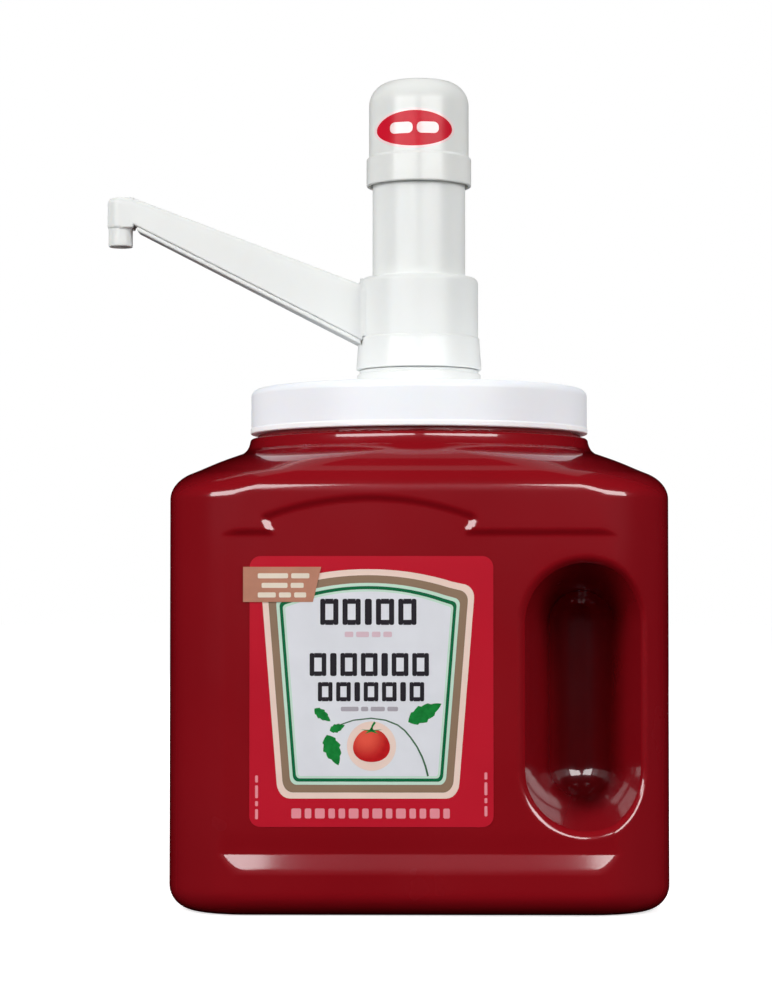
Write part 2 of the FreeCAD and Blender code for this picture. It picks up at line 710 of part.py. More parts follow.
corner_flag = new_body("corner_flag")
flag_sketch = sketch_in(corner_flag, "flag_outline", "XZ_Plane", [
    (d.flag_left, d.flag_low), (d.flag_right_low, d.flag_low),
    (d.flag_right_high, d.flag_high), (d.flag_left, d.flag_high)])
flag_pad = corner_flag.newObject("PartDesign::Pad", "flag_pad")
flag_pad.Profile = flag_sketch
bind(flag_pad, Length=d.flag_thick)
place(corner_flag, y=-label_face - d.label_thick)

# -------------------------------------------------------------------- the lid
lid_form = turned("lid_form", d.lid_low, [
    (d.lid_hole, d.lid_under), (d.lid_bore, d.lid_under),
    (d.lid_bore, d.lid_low), (d.lid_lip_rad, d.lid_low),
    (d.lid_lip_rad, d.lid_lip_top), (d.lid_rad, d.lid_lip_top + 0.25),
    (d.lid_rad, d.lid_top), (d.lid_hole, d.lid_top)],
    rounds=[(d.lid_rad, d.lid_top, d.lid_round)])
lid_thread = thread("lid_thread", d.lid_bore, d.lid_thread_crest,
                    d.lid_thread_root_w, d.lid_thread_crest_w,
                    d.lid_thread_z, d.lid_thread_turns, 90, -d.thread_bite)
lid = fused("lid", [lid_form, lid_thread])
lid_liner = turned("lid_liner", d.liner_low, tube_corners(
    d.liner_in, d.liner_out, d.liner_low, d.liner_top))

pump_gasket = turned("pump_gasket", d.lid_top, tube_corners(
    d.gasket_in, d.gasket_out, d.lid_top, d.gasket_top))
swivel_ring = turned("swivel_ring", d.gasket_top, [
    (d.gasket_in, d.gasket_top), (d.ring_rad, d.gasket_top),
    (d.ring_rad, d.ring_shoulder), (d.ring_neck_rad, d.ring_neck_low),
    (d.ring_neck_rad, d.ring_top), (d.gasket_in, d.ring_top)])

# ------------------------------------------------------------------- the pump
# The arm's axis, from the body's wall outwards and upwards.
tilt = d.arm_tilt.value
along = Rotation(Vector(0, 1, 0), tilt - 90.0)      # local Z along the arm
arm_dir = along.multVec(Vector(0, 0, 1))


def on_arm(thing, start):
    """Put a piece on the arm's axis, start millimetres from the body."""
    start = size(start)
    cosine = "cos(Dims.arm_tilt * 1 deg)"
    sine = "sin(Dims.arm_tilt * 1 deg)"
    reach = Size(math.cos(math.radians(tilt)), cosine)
    climb = Size(math.sin(math.radians(tilt)), sine)
    return place(thing, -(d.arm_start_x + start * reach), ZERO,
                 d.arm_start_z + start * climb, along)


pump_body_form = turned("pump_body_form", d.body_low, [
    (d.body_foot_rad, d.body_low), (d.body_foot_top_rad, d.body_foot_top),
    (d.body_bead_rad, d.body_bead_z), (d.body_rad, d.body_bead_top),
    (d.body_rad, d.body_top), (d.body_mouth, d.body_top),
    (d.body_mouth, d.body_lip_low), (d.body_bore, d.body_lip_low),
    (d.body_bore, d.body_socket_top), (d.body_socket, d.body_socket_top),
    (d.body_socket, d.body_low)],
    rounds=[(d.body_rad, d.body_top, d.body_round)])
port_tool = on_arm(drum("port_tool", d.port_rad, 12.0), -8.0)
pump_body = cut("pump_body", pump_body_form, [port_tool])

gland_ring = turned("gland_ring", d.gland_low, tube_corners(
    d.gland_in, d.gland_out, d.gland_low, d.wiper_low))
wiper_seal = turned("wiper_seal", d.wiper_low, [
    (d.wiper_in, d.wiper_top - 0.6), (d.wiper_in, d.wiper_low + 0.6),
    (d.wiper_in + 0.6, d.wiper_low), (d.gland_out, d.wiper_low),
    (d.gland_out, d.wiper_top), (d.wiper_in + 0.3, d.wiper_top)])

barrel = turned("barrel", d.spigot_low, [
    (d.spigot_bore, d.spigot_low), (d.spigot_bore, d.spigot_stop),
    (d.inlet_rad, d.spigot_stop), (d.inlet_rad, d.inlet_top),
    (d.well_rad, d.seat_top), (d.well_rad, d.barrel_floor),
    (d.barrel_bore, d.barrel_floor), (d.barrel_bore, d.barrel_top),
    (d.barrel_rad, d.barrel_top), (d.barrel_rad, d.barrel_cone_high),
    (d.spigot_rad, d.barrel_cone_low), (d.spigot_rad, d.spigot_low)])
barrel_seal = turned("barrel_seal", d.barrel_top, tube_corners(
    d.bseal_in, d.barrel_rad, d.barrel_top, d.bseal_top))
dip_tube = turned("dip_tube", d.tube_low, tube_corners(
    d.tube_in, d.tube_out, d.tube_low, d.spigot_stop))

# the nut that clamps the pump under the lid, with notches for a wrench
lock_nut = turned("lock_nut", d.nut_low, tube_corners(
    d.nut_bore, d.nut_rad, d.nut_low, d.nut_top))
notch_half = d.nut_notch_wide / 2
notch_sketch = sketch_in(lock_nut, "notch_outline", "XY_Plane", [
    (d.nut_notch_in, -notch_half), (d.nut_rad + 2.0, -notch_half),
    (d.nut_rad + 2.0, notch_half), (d.nut_notch_in, notch_half)])
before = lock_nut.Tip.Shape.Volume
notch = lock_nut.newObject("PartDesign::Pocket", "notch")
notch.Profile = notch_sketch
notch.Reversed = True
bind(notch, Length=d.nut_top - d.nut_low)
doc.recompute()
if notch.Shape.Volume > before - 1.0:
    notch.Reversed = False
    doc.recompute()
assert notch.Shape.Volume < before - 1.0
one_notch = before - notch.Shape.Volume
notches = lock_nut.newObject("PartDesign::PolarPattern", "notches")
notches.Originals = [notch]
notches.Axis = (notch_sketch, ["N_Axis"])
notches.Angle = 360
notches.Occurrences = int(d.nut_notches.value)
notches.setExpression("Occurrences", d.nut_notches.text)
lock_nut.Tip = notches
doc.recompute()
assert abs(before - lock_nut.Shape.Volume - 8 * one_notch) < 0.5

# inlet valve: a ball on the barrel's seat, under a cage with crossed bars
inlet_ball = doc.addObject("Part::Sphere", "inlet_ball")
bind(inlet_ball, Radius=d.ball_rad)
place(inlet_ball, z=d.ball_z)
cage_ring = turned("cage_ring", d.barrel_floor, tube_corners(
    d.well_rad, d.cage_out, d.barrel_floor, d.cage_top))
bar_high = d.cage_top - d.cage_bar_low
cage_x = boxed("cage_bar_x", -d.well_rad - 1.0, -d.cage_bar_wide / 2,
               d.cage_bar_low, d.well_rad * 2.0 + 2.0, d.cage_bar_wide,
               bar_high)
cage_y = boxed("cage_bar_y", -d.cage_bar_wide / 2, -d.well_rad - 1.0,
               d.cage_bar_low, d.cage_bar_wide, d.well_rad * 2.0 + 2.0,
               bar_high)
valve_cage = fused("valve_cage", [cage_ring, cage_x, cage_y])

# return spring: a helix swept with its wire, drawn with flats round it
spring_line = doc.addObject("Part::Helix", "spring_line")
rise = d.spring_high - d.spring_low
bind(spring_line, Pitch=rise / d.spring_turns, Height=rise,
     Radius=d.spring_mean)
place(spring_line, z=d.spring_low)
spring_section = doc.addObject("Part::RegularPolygon", "spring_section")
spring_section.Polygon = 12
spring_section.setExpression("Polygon", "Dims.spring_flats")
bind(spring_section, Circumradius=d.spring_wire)
place(spring_section, d.spring_mean, ZERO, d.spring_low,
      Rotation(Vector(1, 0, 0), 90))
doc.recompute()
return_spring = doc.addObject("Part::Sweep", "return_spring")
return_spring.Sections = [spring_section]
return_spring.Spine = (spring_line, [
    "Edge%d" % (i + 1) for i in range(len(spring_line.Shape.Edges))])
return_spring.Solid = True
return_spring.Frenet = True

# ------------------------------------------------------------------ the spout
# A wedge lies with its length along -X: its own Y runs away from the pump.
away = Rotation(Vector(0, 0, 1), 90)


def wedge(name, near, far, low, top, wide):
    """A tapered box from near to far; low, top and wide are pairs."""
    piece = doc.addObject("Part::Wedge", name)
    bind(piece, Ymin=near, Ymax=far,
         Xmin=-wide[0] / 2, Xmax=wide[0] / 2,
         X2min=-wide[1] / 2, X2max=wide[1] / 2,
         Zmin=low[0], Zmax=top[0], Z2min=low[1], Z2max=top[1])
    return place(piece, turn=away)


span = d.arm_far - d.arm_near


def at_reach(near, far, reach):
    """Value at a distance, on the line from arm_near to arm_far."""
    return near + (far - near) * (reach - d.arm_near) / span


lift = d.cover_thick + d.cover_gap
arm_outside = wedge("arm_outside", d.arm_near, d.arm_far,
                    (d.arm_low_near + lift, d.arm_low_far + lift),
                    (d.arm_top_near, d.arm_top_far),
                    (d.arm_wide_near, d.arm_wide_far))
tip_block = boxed("tip_block", -d.nozzle_x, -d.arm_wide_far / 2,
                  d.arm_low_far, d.nozzle_x - d.arm_far + 0.02,
                  d.arm_wide_far, d.arm_top_far - d.arm_low_far)
nozzle_form = turned("nozzle_form", d.nozzle_low, [
    (0, d.nozzle_low), (d.nozzle_rad, d.nozzle_low),
    (d.nozzle_rad, d.arm_top_far), (0, d.arm_top_far)])
place(nozzle_form, -d.nozzle_x, ZERO, d.nozzle_low)

chan_wide_near = at_reach(d.arm_wide_near, d.arm_wide_far, d.chan_near) \
    - d.arm_wall * 2
chan_roof_near = at_reach(d.arm_top_near, d.arm_top_far, d.chan_near) \
    - d.arm_wall - 0.1
channel = wedge("channel", d.chan_near, d.arm_far,
                (at_reach(d.arm_low_near, d.arm_low_far, d.chan_near) - 1.0,
                 d.arm_low_far - 1.0),
                (chan_roof_near, d.arm_top_far - d.arm_wall - 0.1),
                (chan_wide_near, d.arm_wide_far - d.arm_wall * 2))
channel_tip = boxed("channel_tip", -d.nozzle_x, -d.chan_tip_wide / 2,
                    d.arm_low_far + 1.8, d.nozzle_x - d.arm_far + 0.9,
                    d.chan_tip_wide, d.chan_tip_roof - d.arm_low_far - 1.8)
nozzle_hole = drum("nozzle_hole", d.nozzle_bore,
                   d.chan_tip_roof - d.nozzle_low + 1.0, -d.nozzle_x, ZERO,
                   d.nozzle_low - 1.0)
root_bore = on_arm(drum("root_bore", d.root_rad, d.root_deep + 3.0), -3.0)
body_room = drum("body_room", d.arm_fit, 90.0, z=size(150.0))
foot_high = d.body_bead_top + 0.1 - 150.0
bead_room = drum("bead_room", d.arm_foot_fit, foot_high, z=size(150.0))
foot_room = drum("foot_room", d.arm_foot_fit, foot_high, z=size(150.0))
body_room_too = drum("body_room_too", d.arm_fit, 90.0, z=size(150.0))
spout_arm = cut("spout_arm",
                fused("arm_solid", [arm_outside, tip_block, nozzle_form]),
                [channel, channel_tip, nozzle_hole, root_bore, body_room,
                 bead_room])
cover_form = wedge("cover_form", d.arm_near, d.cover_far,
                   (d.arm_low_near,
                    at_reach(d.arm_low_near, d.arm_low_far, d.cover_far)),
                   (d.arm_low_near + d.cover_thick,
                    at_reach(d.arm_low_near, d.arm_low_far, d.cover_far)
                    + d.cover_thick),
                   (d.arm_wide_near,
                    at_reach(d.arm_wide_near, d.arm_wide_far, d.cover_far)))
spout_cover = cut("spout_cover", cover_form, [body_room_too, foot_room])

# outlet valve in the arm's root: a ball on a conical seat
seat_form = drum("seat_form", d.oseat_rad, d.oseat_far - d.oseat_near)
on_arm(seat_form, d.oseat_near)
seat_hole = on_arm(drum("seat_hole", d.oseat_bore, 20.0),
                   d.oseat_near - 5.0)
seat_cone = doc.addObject("Part::Cone", "seat_cone")
cone_long = d.oseat_mouth - d.oseat_bore
bind(seat_cone, Radius1=d.oseat_bore, Radius2=d.oseat_mouth + 1.0,
     Height=cone_long + 1.0)
on_arm(seat_cone, d.oseat_far - cone_long)
outlet_seat = cut("outlet_seat", seat_form, [seat_hole, seat_cone])
outlet_ball = doc.addObject("Part::Sphere", "outlet_ball")
bind(outlet_ball, Radius=d.oball_rad)
on_arm(outlet_ball, d.oball_s)

# ---------------------------------------------------------------- the plunger
plunger_sleeve = turned("plunger_sleeve", d.sleeve_low, tube_corners(
    d.sleeve_in, d.sleeve_out, d.sleeve_low, d.sleeve_top))
plunger_plug = turned("plunger_plug", d.plug_low, [
    (0, d.plug_low), (d.plug_flange, d.plug_low),
    (d.plug_flange, d.sleeve_low), (d.plug_rad, d.sleeve_low),
    (d.plug_rad, d.plug_groove_low), (d.plug_groove, d.plug_groove_low),
    (d.plug_groove, d.plug_groove_high), (d.plug_rad, d.plug_groove_high),
    (d.plug_rad, d.plug_top), (d.plug_core, d.plug_top),
    (d.plug_core, d.plug_core_low), (0, d.plug_core_low)])
plug_oring = doc.addObject("Part::Torus", "plug_oring")
bind(plug_oring, Radius1=d.oring_mean, Radius2=d.oring_wire)
place(plug_oring, z=d.oring_z)

knob = turned("knob", d.knob_low, [
    (0, d.knob_top), (d.knob_rad, d.knob_top), (d.knob_rad, d.knob_step_high),
    (d.knob_band, d.knob_step_low), (d.knob_band, d.knob_low),
    (d.knob_rim_bore, d.knob_low), (d.knob_rim_bore, d.knob_rim_top),
    (d.knob_fit, d.knob_fit_low), (d.knob_fit, d.sleeve_top),
    (d.knob_cap_bore, d.sleeve_top), (d.knob_cap_bore, d.knob_cap_top),
    (0, d.knob_cap_top)],
    rounds=[(d.knob_rad, d.knob_top, d.knob_round),
            (d.knob_cap_bore, d.knob_cap_top, d.knob_cap_round)])

# the badge: a curved oval on the knob's front
badge_oval = doc.addObject("Part::Ellipse", "badge_oval")
bind(badge_oval, MajorRadius=d.badge_wide / 2, MinorRadius=d.badge_high / 2)
place(badge_oval, d.badge_x, ZERO, d.badge_z, Rotation(Vector(1, 0, 0), 90))
badge_prism = doc.addObject("Part::Extrusion", "badge_prism")
badge_prism.Base = badge_oval
badge_prism.DirMode = "Custom"
badge_prism.Dir = Vector(0, -1, 0)
badge_prism.LengthFwd = 30.0
badge_prism.Solid = True
badge_ring = turned("badge_ring", d.badge_z - d.badge_high, tube_corners(
    d.badge_in, d.badge_out, d.badge_z - d.badge_high,
    d.badge_z + d.badge_high))
knob_badge = doc.addObject("Part::Common", "knob_badge")
knob_badge.Label = "knob_badge"
knob_badge.Base = badge_ring
knob_badge.Tool = badge_prism

doc.recompute()

# ----------------------------------------------------------- check and export
SUB_PARTS = [
    jug_shell, ketchup_fill, front_label, back_label, corner_flag,
    lid, lid_liner, pump_gasket, swivel_ring,
    pump_body, spout_arm, spout_cover, outlet_seat, gland_ring, wiper_seal,
    barrel, barrel_seal, lock_nut, dip_tube, valve_cage, return_spring,
    knob, knob_badge, plunger_sleeve, plunger_plug, plug_oring,
    inlet_ball, outlet_ball,
]
for thing in doc.Objects:
    if "Invalid" in thing.State or "Error" in thing.State:
        raise RuntimeError("%s failed: %s" % (thing.Name, thing.State))
for piece in SUB_PARTS:
    shape = piece.Shape
    if shape.isNull() or not shape.isValid() or not shape.Solids:
        raise RuntimeError(piece.Label + " has no valid solid")
for piece in SUB_PARTS:
    print("%-16s %d solid, %10.1f mm3" % (piece.Label,
                                          len(piece.Shape.Solids),
                                          piece.Shape.Volume))
    piece.Shape.exportStep("parts/%s.step" % piece.Label)
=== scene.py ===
import math
import random

import bmesh
import bpy
import numpy as np
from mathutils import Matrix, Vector


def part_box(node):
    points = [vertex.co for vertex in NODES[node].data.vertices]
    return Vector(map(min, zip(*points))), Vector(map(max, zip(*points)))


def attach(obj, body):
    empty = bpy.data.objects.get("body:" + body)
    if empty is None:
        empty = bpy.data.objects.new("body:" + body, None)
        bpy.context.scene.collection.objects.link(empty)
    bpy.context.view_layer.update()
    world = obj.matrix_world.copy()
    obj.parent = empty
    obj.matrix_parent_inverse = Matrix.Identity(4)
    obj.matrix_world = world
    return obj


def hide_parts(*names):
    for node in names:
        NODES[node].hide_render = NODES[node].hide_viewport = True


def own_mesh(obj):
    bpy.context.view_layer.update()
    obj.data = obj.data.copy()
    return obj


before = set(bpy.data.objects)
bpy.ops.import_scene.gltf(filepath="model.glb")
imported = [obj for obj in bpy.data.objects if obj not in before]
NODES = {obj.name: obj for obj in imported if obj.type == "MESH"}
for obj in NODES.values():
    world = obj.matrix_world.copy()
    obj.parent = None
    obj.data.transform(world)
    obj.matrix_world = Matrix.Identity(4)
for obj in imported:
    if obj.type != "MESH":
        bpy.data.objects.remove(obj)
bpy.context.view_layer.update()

MM = 0.001


# ------------------------------------------------------------------ materials
def linear(r, g, b):
    """sRGB 0..255 to a linear RGBA colour."""
    out = []
    for v in (r, g, b):
        v = v / 255.0
        out.append(v / 12.92 if v <= 0.04045 else ((v + 0.055) / 1.055) ** 2.4)
    return (*out, 1.0)


def material(name, base, rough=0.3, metal=0.0, coat=0.0, coat_rough=0.05,
             coat_tint=None, vary=0.06, vary_size=0.03, rough_vary=0.06,
             bump=0.0, bump_size=0.0008, wave=0.0, wave_size=0.02,
             stretch=(1.0, 1.0, 1.0), second=None, subsurface=0.0,
             specular=0.5, ior=1.5, glow=0.0):
    """A plastic, film, rubber or metal that varies a little over its
    surface. Sizes are metres in the row frame."""
    m = bpy.data.materials.new(name)
    m.use_nodes = True
    m.diffuse_color = base
    tree = m.node_tree
    nodes, links = tree.nodes, tree.links
    p = nodes["Principled BSDF"]
    where = nodes.new("ShaderNodeTexCoord")
    mapping = nodes.new("ShaderNodeMapping")
    mapping.inputs["Scale"].default_value = stretch
    links.new(where.outputs["Object"], mapping.inputs["Vector"])

    def noise(size, detail=3.0, rough_=0.5):
        n = nodes.new("ShaderNodeTexNoise")
        n.inputs["Scale"].default_value = 1.0 / size
        n.inputs["Detail"].default_value = detail
        n.inputs["Roughness"].default_value = rough_
        links.new(mapping.outputs["Vector"], n.inputs["Vector"])
        return n.outputs["Fac"]

    cloud = noise(vary_size)
    ramp = nodes.new("ShaderNodeMapRange")
    ramp.interpolation_type = "SMOOTHSTEP"
    ramp.inputs["From Min"].default_value = 0.15
    ramp.inputs["From Max"].default_value = 0.85
    links.new(cloud, ramp.inputs["Value"])
    mix = nodes.new("ShaderNodeMix")
    mix.data_type = "RGBA"
    low = tuple(c * (1.0 - vary) for c in base[:3]) + (1.0,)
    high = second or tuple(min(1.0, c * (1.0 + vary)) for c in base[:3]) + (1.0,)
    mix.inputs["A"].default_value = low
    mix.inputs["B"].default_value = high
    links.new(ramp.outputs["Result"], mix.inputs["Factor"])
    links.new(mix.outputs["Result"], p.inputs["Base Color"])

    grain = nodes.new("ShaderNodeMapRange")
    grain.interpolation_type = "SMOOTHSTEP"
    grain.inputs["From Min"].default_value = 0.15
    grain.inputs["From Max"].default_value = 0.85
    grain.inputs["To Min"].default_value = max(0.02, rough - rough_vary / 2)
    grain.inputs["To Max"].default_value = min(1.0, rough + rough_vary / 2)
    links.new(noise(vary_size * 0.35), grain.inputs["Value"])
    links.new(grain.outputs["Result"], p.inputs["Roughness"])

    p.inputs["Metallic"].default_value = metal
    p.inputs["IOR"].default_value = ior
    p.inputs["Specular IOR Level"].default_value = specular
    p.inputs["Coat Weight"].default_value = coat
    p.inputs["Coat Roughness"].default_value = coat_rough
    if coat_tint:
        p.inputs["Coat Tint"].default_value = coat_tint
    if subsurface:
        p.inputs["Subsurface Weight"].default_value = subsurface
        p.inputs["Subsurface Radius"].default_value = (1.0, 0.8, 0.6)
        p.inputs["Subsurface Scale"].default_value = 0.002
    # glow makes the surface give off its own colour: painted light on the lid, an even
    # brightness on the floor.
    if glow:
        p.inputs["Emission Color"].default_value = base
        p.inputs["Emission Strength"].default_value = glow
    normal = None
    if wave:
        b = nodes.new("ShaderNodeBump")
        b.inputs["Strength"].default_value = 1.0
        b.inputs["Distance"].default_value = wave
        links.new(noise(wave_size, 1.5, 0.4), b.inputs["Height"])
        normal = b.outputs["Normal"]
    if bump:
        b = nodes.new("ShaderNodeBump")
        b.inputs["Strength"].default_value = 1.0
        b.inputs["Distance"].default_value = bump
        links.new(noise(bump_size, 2.0, 0.6), b.inputs["Height"])
        if normal:
            links.new(normal, b.inputs["Normal"])
        normal = b.outputs["Normal"]
    if normal:
        links.new(normal, p.inputs["Normal"])
        if coat:
            links.new(normal, p.inputs["Coat Normal"])
    return m


JUG_RED = material("jug_red", (0.435, 0.0072, 0.0132, 1.0), rough=0.25,
                   coat=1.0, coat_rough=0.06, vary=0.07, vary_size=0.06,
                   coat_tint=(0.61, 0.55, 0.63, 1.0),
                   second=(0.465, 0.0085, 0.0152, 1.0),
                   wave=0.00004, wave_size=0.035, bump=0.000002,
                   bump_size=0.0012, specular=0.18)
JUG_CLEAR = material("jug_neck_clear", (0.30, 0.035, 0.04, 1.0), rough=0.2,
                     coat=0.6, vary=0.1, wave=0.00004, wave_size=0.01)
PUMP_WHITE = material("pump_white", (0.785, 0.799, 0.782, 1.0), rough=0.33,
                      coat=0.05, coat_rough=0.12, vary=0.015, vary_size=0.03,
                      rough_vary=0.02, specular=0.22,
                      second=(0.80, 0.814, 0.798, 1.0), bump=0.000003, bump_size=0.0009,
                      subsurface=0.12)
KNOB_WHITE = material("knob_white", (0.775, 0.786, 0.762, 1.0), rough=0.30,
                      coat=0.10, coat_rough=0.12, vary=0.015, vary_size=0.02,
                      rough_vary=0.02, specular=0.25,
                      second=(0.79, 0.80, 0.778, 1.0), bump=0.000002, bump_size=0.001,
                      subsurface=0.12)
# The lid's glow is painted light: a faint emission of its own colour that brightens its
# shading evenly.
LID_WHITE = material("lid_white", (0.87, 0.895, 0.94, 1.0), rough=0.42,
                     coat=0.08, coat_rough=0.25, vary=0.01, vary_size=0.04,
                     second=(0.885, 0.908, 0.95, 1.0), bump=0.000006,
                     bump_size=0.0006, subsurface=0.2, glow=0.05)
BARREL_PLASTIC = material("barrel_natural", (0.72, 0.74, 0.73, 1.0), rough=0.35,
                          vary=0.05, vary_size=0.012, bump=0.00001,
                          subsurface=0.2)
TUBE_PLASTIC = material("tube_natural", (0.66, 0.68, 0.67, 1.0), rough=0.42,
                        vary=0.06, vary_size=0.02, stretch=(1, 1, 0.25),
                        bump=0.00001, subsurface=0.2)
RUBBER = material("seal_rubber", (0.60, 0.60, 0.57, 1.0), rough=0.7,
                  vary=0.08, vary_size=0.005, bump=0.00003, bump_size=0.0005)
STEEL = material("stainless", (0.60, 0.60, 0.585, 1.0), rough=0.24, metal=1.0,
                 vary=0.08, vary_size=0.004, bump=0.000008, bump_size=0.0004)
BOARD = material("liner_board", (0.80, 0.79, 0.75, 1.0), rough=0.8,
                 vary=0.06, vary_size=0.003, bump=0.00004, bump_size=0.0004)
KETCHUP = material("ketchup", (0.32, 0.012, 0.008, 1.0), rough=0.3,
                   vary=0.2, vary_size=0.01, wave=0.0002, wave_size=0.008,
                   subsurface=0.3)


def painted_lip_light(m, colour):
    """Painted light: paints the lid's thin bottom lip paler, standing in for the light
    that passes through it.
    """
    nodes, links = m.node_tree.nodes, m.node_tree.links
    p = nodes["Principled BSDF"]
    where = nodes.new("ShaderNodeTexCoord")
    axes = nodes.new("ShaderNodeSeparateXYZ")
    links.new(where.outputs["Object"], axes.inputs[0])
    near = nodes.new("ShaderNodeMapRange")
    near.interpolation_type = "SMOOTHSTEP"
    near.inputs["From Min"].default_value = 0.1571
    near.inputs["From Max"].default_value = 0.1561
    links.new(axes.outputs["Z"], near.inputs["Value"])
    mix = nodes.new("ShaderNodeMix")
    mix.data_type = "RGBA"
    mix.inputs["B"].default_value = colour
    links.new(near.outputs["Result"], mix.inputs["Factor"])
    links.new(p.inputs["Base Color"].links[0].from_socket, mix.inputs["A"])
    links.new(mix.outputs["Result"], p.inputs["Base Color"])


# Painted light on the lid: its bottom lip is painted paler, as if lit through.
painted_lip_light(LID_WHITE, (0.97, 0.97, 0.98, 1.0))


def film(name, rgb, rough=0.17, **more):
    """A printed label film."""
    more.setdefault("vary", 0.035)
    more.setdefault("vary_size", 0.012)
    return material(name, linear(*rgb), rough=rough, rough_vary=0.03,
                    specular=0.35, bump=0.000002, bump_size=0.0006, **more)


FILM_RED = film("film_red", (196, 28, 47), vary=0.05, vary_size=0.03)
FILM_PEACH = film("film_peach", (246, 218, 205))
FILM_TAN = film("film_tan", (150, 124, 102))
FILM_MINT = film("film_mint", (203, 232, 214))
FILM_GREEN = film("film_green", (24, 108, 66))
FILM_WHITE = film("film_white", (233, 234, 240))
FILM_INK = film("film_ink", (46, 42, 48))
FILM_GREY = film("film_grey", (178, 172, 180))
FILM_ROSE = film("film_rose", (226, 196, 206))
FILM_PINK = film("film_pink", (240, 150, 160))
FILM_LEAF = film("film_leaf", (28, 132, 58), vary=0.25, vary_size=0.002)
FILM_STEM = film("film_stem", (70, 110, 80))
FILM_FLAG = film("film_flag", (194, 136, 113), vary=0.08, vary_size=0.006)
FILM_FLAG_INK = film("film_flag_ink", (240, 226, 208))
FILM_BADGE = film("film_badge", (208, 14, 42), rough=0.3, vary=0.08,
                  vary_size=0.006)
FILM_BADGE.node_tree.nodes["Principled BSDF"].inputs[
    "Specular IOR Level"].default_value = 0.12
FILM_BADGE_RIM = film("film_badge_rim", (248, 222, 222))


def tomato_material():
    """Skin that is lighter towards its upper left, as a round fruit is."""
    m = film("film_tomato", (196, 30, 34), vary=0.12, vary_size=0.002)
    nodes, links = m.node_tree.nodes, m.node_tree.links
    p = nodes["Principled BSDF"]
    where = nodes.new("ShaderNodeTexCoord")
    dist = nodes.new("ShaderNodeVectorMath")
    dist.operation = "DISTANCE"
    dist.inputs[1].default_value = (-0.0166, -0.0697, 0.0561)
    links.new(where.outputs["Object"], dist.inputs[0])
    near = nodes.new("ShaderNodeMapRange")
    near.interpolation_type = "SMOOTHSTEP"
    near.inputs["From Min"].default_value = 0.0008
    near.inputs["From Max"].default_value = 0.0072
    near.inputs["To Min"].default_value = 1.0
    near.inputs["To Max"].default_value = 0.0
    links.new(dist.outputs["Value"], near.inputs["Value"])
    mix = nodes.new("ShaderNodeMix")
    mix.data_type = "RGBA"
    mix.inputs["B"].default_value = linear(240, 92, 74)
    links.new(near.outputs["Result"], mix.inputs["Factor"])
    links.new(p.inputs["Base Color"].links[0].from_socket, mix.inputs["A"])
    links.new(mix.outputs["Result"], p.inputs["Base Color"])
    return m


FILM_TOMATO = tomato_material()


# --------------------------------------------------------------- mesh helpers
def make(name, verts, faces, mat, body, normals=None, replaces=(),
         smooth=True):
    """A mesh piece from millimetre points that rides on a CAD body."""
    me = bpy.data.meshes.new(name)
    me.from_pydata((np.asarray(verts, float) * MM).tolist(), [],
                   faces.tolist() if hasattr(faces, "tolist") else faces)
    me.update()
    if smooth:
        me.polygons.foreach_set("use_smooth", [True] * len(me.polygons))
    if normals is not None:
        me.normals_split_custom_set_from_vertices(
            np.asarray(normals, float).tolist())
    me.materials.append(mat)
    o = bpy.data.objects.new(name, me)
    bpy.context.scene.collection.objects.link(o)
    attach(o, body)
    if replaces:
        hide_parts(*replaces)
    return o


# ---- surfaces of revolution
def round_profile(points, turn=7.0):
    """Corners (r, z, rounding) of a closed outline to points with normals.
    The outline runs so that the material is on its left."""
    out = []
    n = len(points)
    for i in range(n):
        p0 = np.array(points[i - 1][:2], float)
        p1 = np.array(points[i][:2], float)
        p2 = np.array(points[(i + 1) % n][:2], float)
        a, b = p1 - p0, p2 - p1
        la, lb = np.linalg.norm(a), np.linalg.norm(b)
        a, b = a / la, b / lb
        na, nb = np.array([a[1], -a[0]]), np.array([b[1], -b[0]])
        cross = a[0] * b[1] - a[1] * b[0]
        dot = float(np.clip(a @ b, -1, 1))
        angle = math.atan2(cross, dot)
        wanted = points[i][2] if len(points[i]) > 2 else 0.15
        if p1[0] < 1e-9:
            flat = np.array([0.0, 1.0 if p1[1] > p0[1] or na[1] > 0 else -1.0])
            side = na if abs(na[1]) > abs(nb[1]) else nb
            out.append((p1, np.array([0.0, math.copysign(1.0, side[1])])))
            continue
        if abs(angle) < 1e-4:
            out.append((p1, na))
            continue
        reach = abs(math.tan(angle / 2))
        r = min(wanted, 0.48 * la / reach, 0.48 * lb / reach)
        start = p1 - a * r * reach
        side = 1.0 if angle > 0 else -1.0
        centre = start - na * side * r
        steps = max(2, int(math.ceil(abs(math.degrees(angle)) / turn)))
        for k in range(steps + 1):
            t = angle * k / steps
            c, s = math.cos(t), math.sin(t)
            v = np.array([na[0] * c - na[1] * s, na[0] * s + na[1] * c])
            out.append((centre + v * side * r, v))
    return out


def lathe(name, points, mat, body, replaces=(), segments=160,
          centre=(0.0, 0.0)):
    profile = round_profile(points)
    rings = len(profile)
    verts, normals = [], []
    angles = np.arange(segments) * 2 * math.pi / segments
    ca, sa = np.cos(angles), np.sin(angles)
    index = []
    for p, nrm in profile:
        if p[0] < 1e-9:
            index.append([len(verts)] * segments)
            verts.append((centre[0], centre[1], p[1]))
            normals.append((0.0, 0.0, nrm[1]))
            continue
        index.append(list(range(len(verts), len(verts) + segments)))
        for c, s in zip(ca, sa):
            verts.append((centre[0] + p[0] * c, centre[1] + p[0] * s, p[1]))
            normals.append((nrm[0] * c, nrm[0] * s, nrm[1]))
    faces = []
    for i in range(rings):
        j = (i + 1) % rings
        if profile[i][0][0] < 1e-9 and profile[j][0][0] < 1e-9:
            continue
        for k in range(segments):
            m = (k + 1) % segments
            quad = [index[i][k], index[i][m], index[j][m], index[j][k]]
            face = []
            for v in quad:
                if v not in face:
                    face.append(v)
            faces.append(face)
    return make(name, verts, faces, mat, body, normals, replaces)


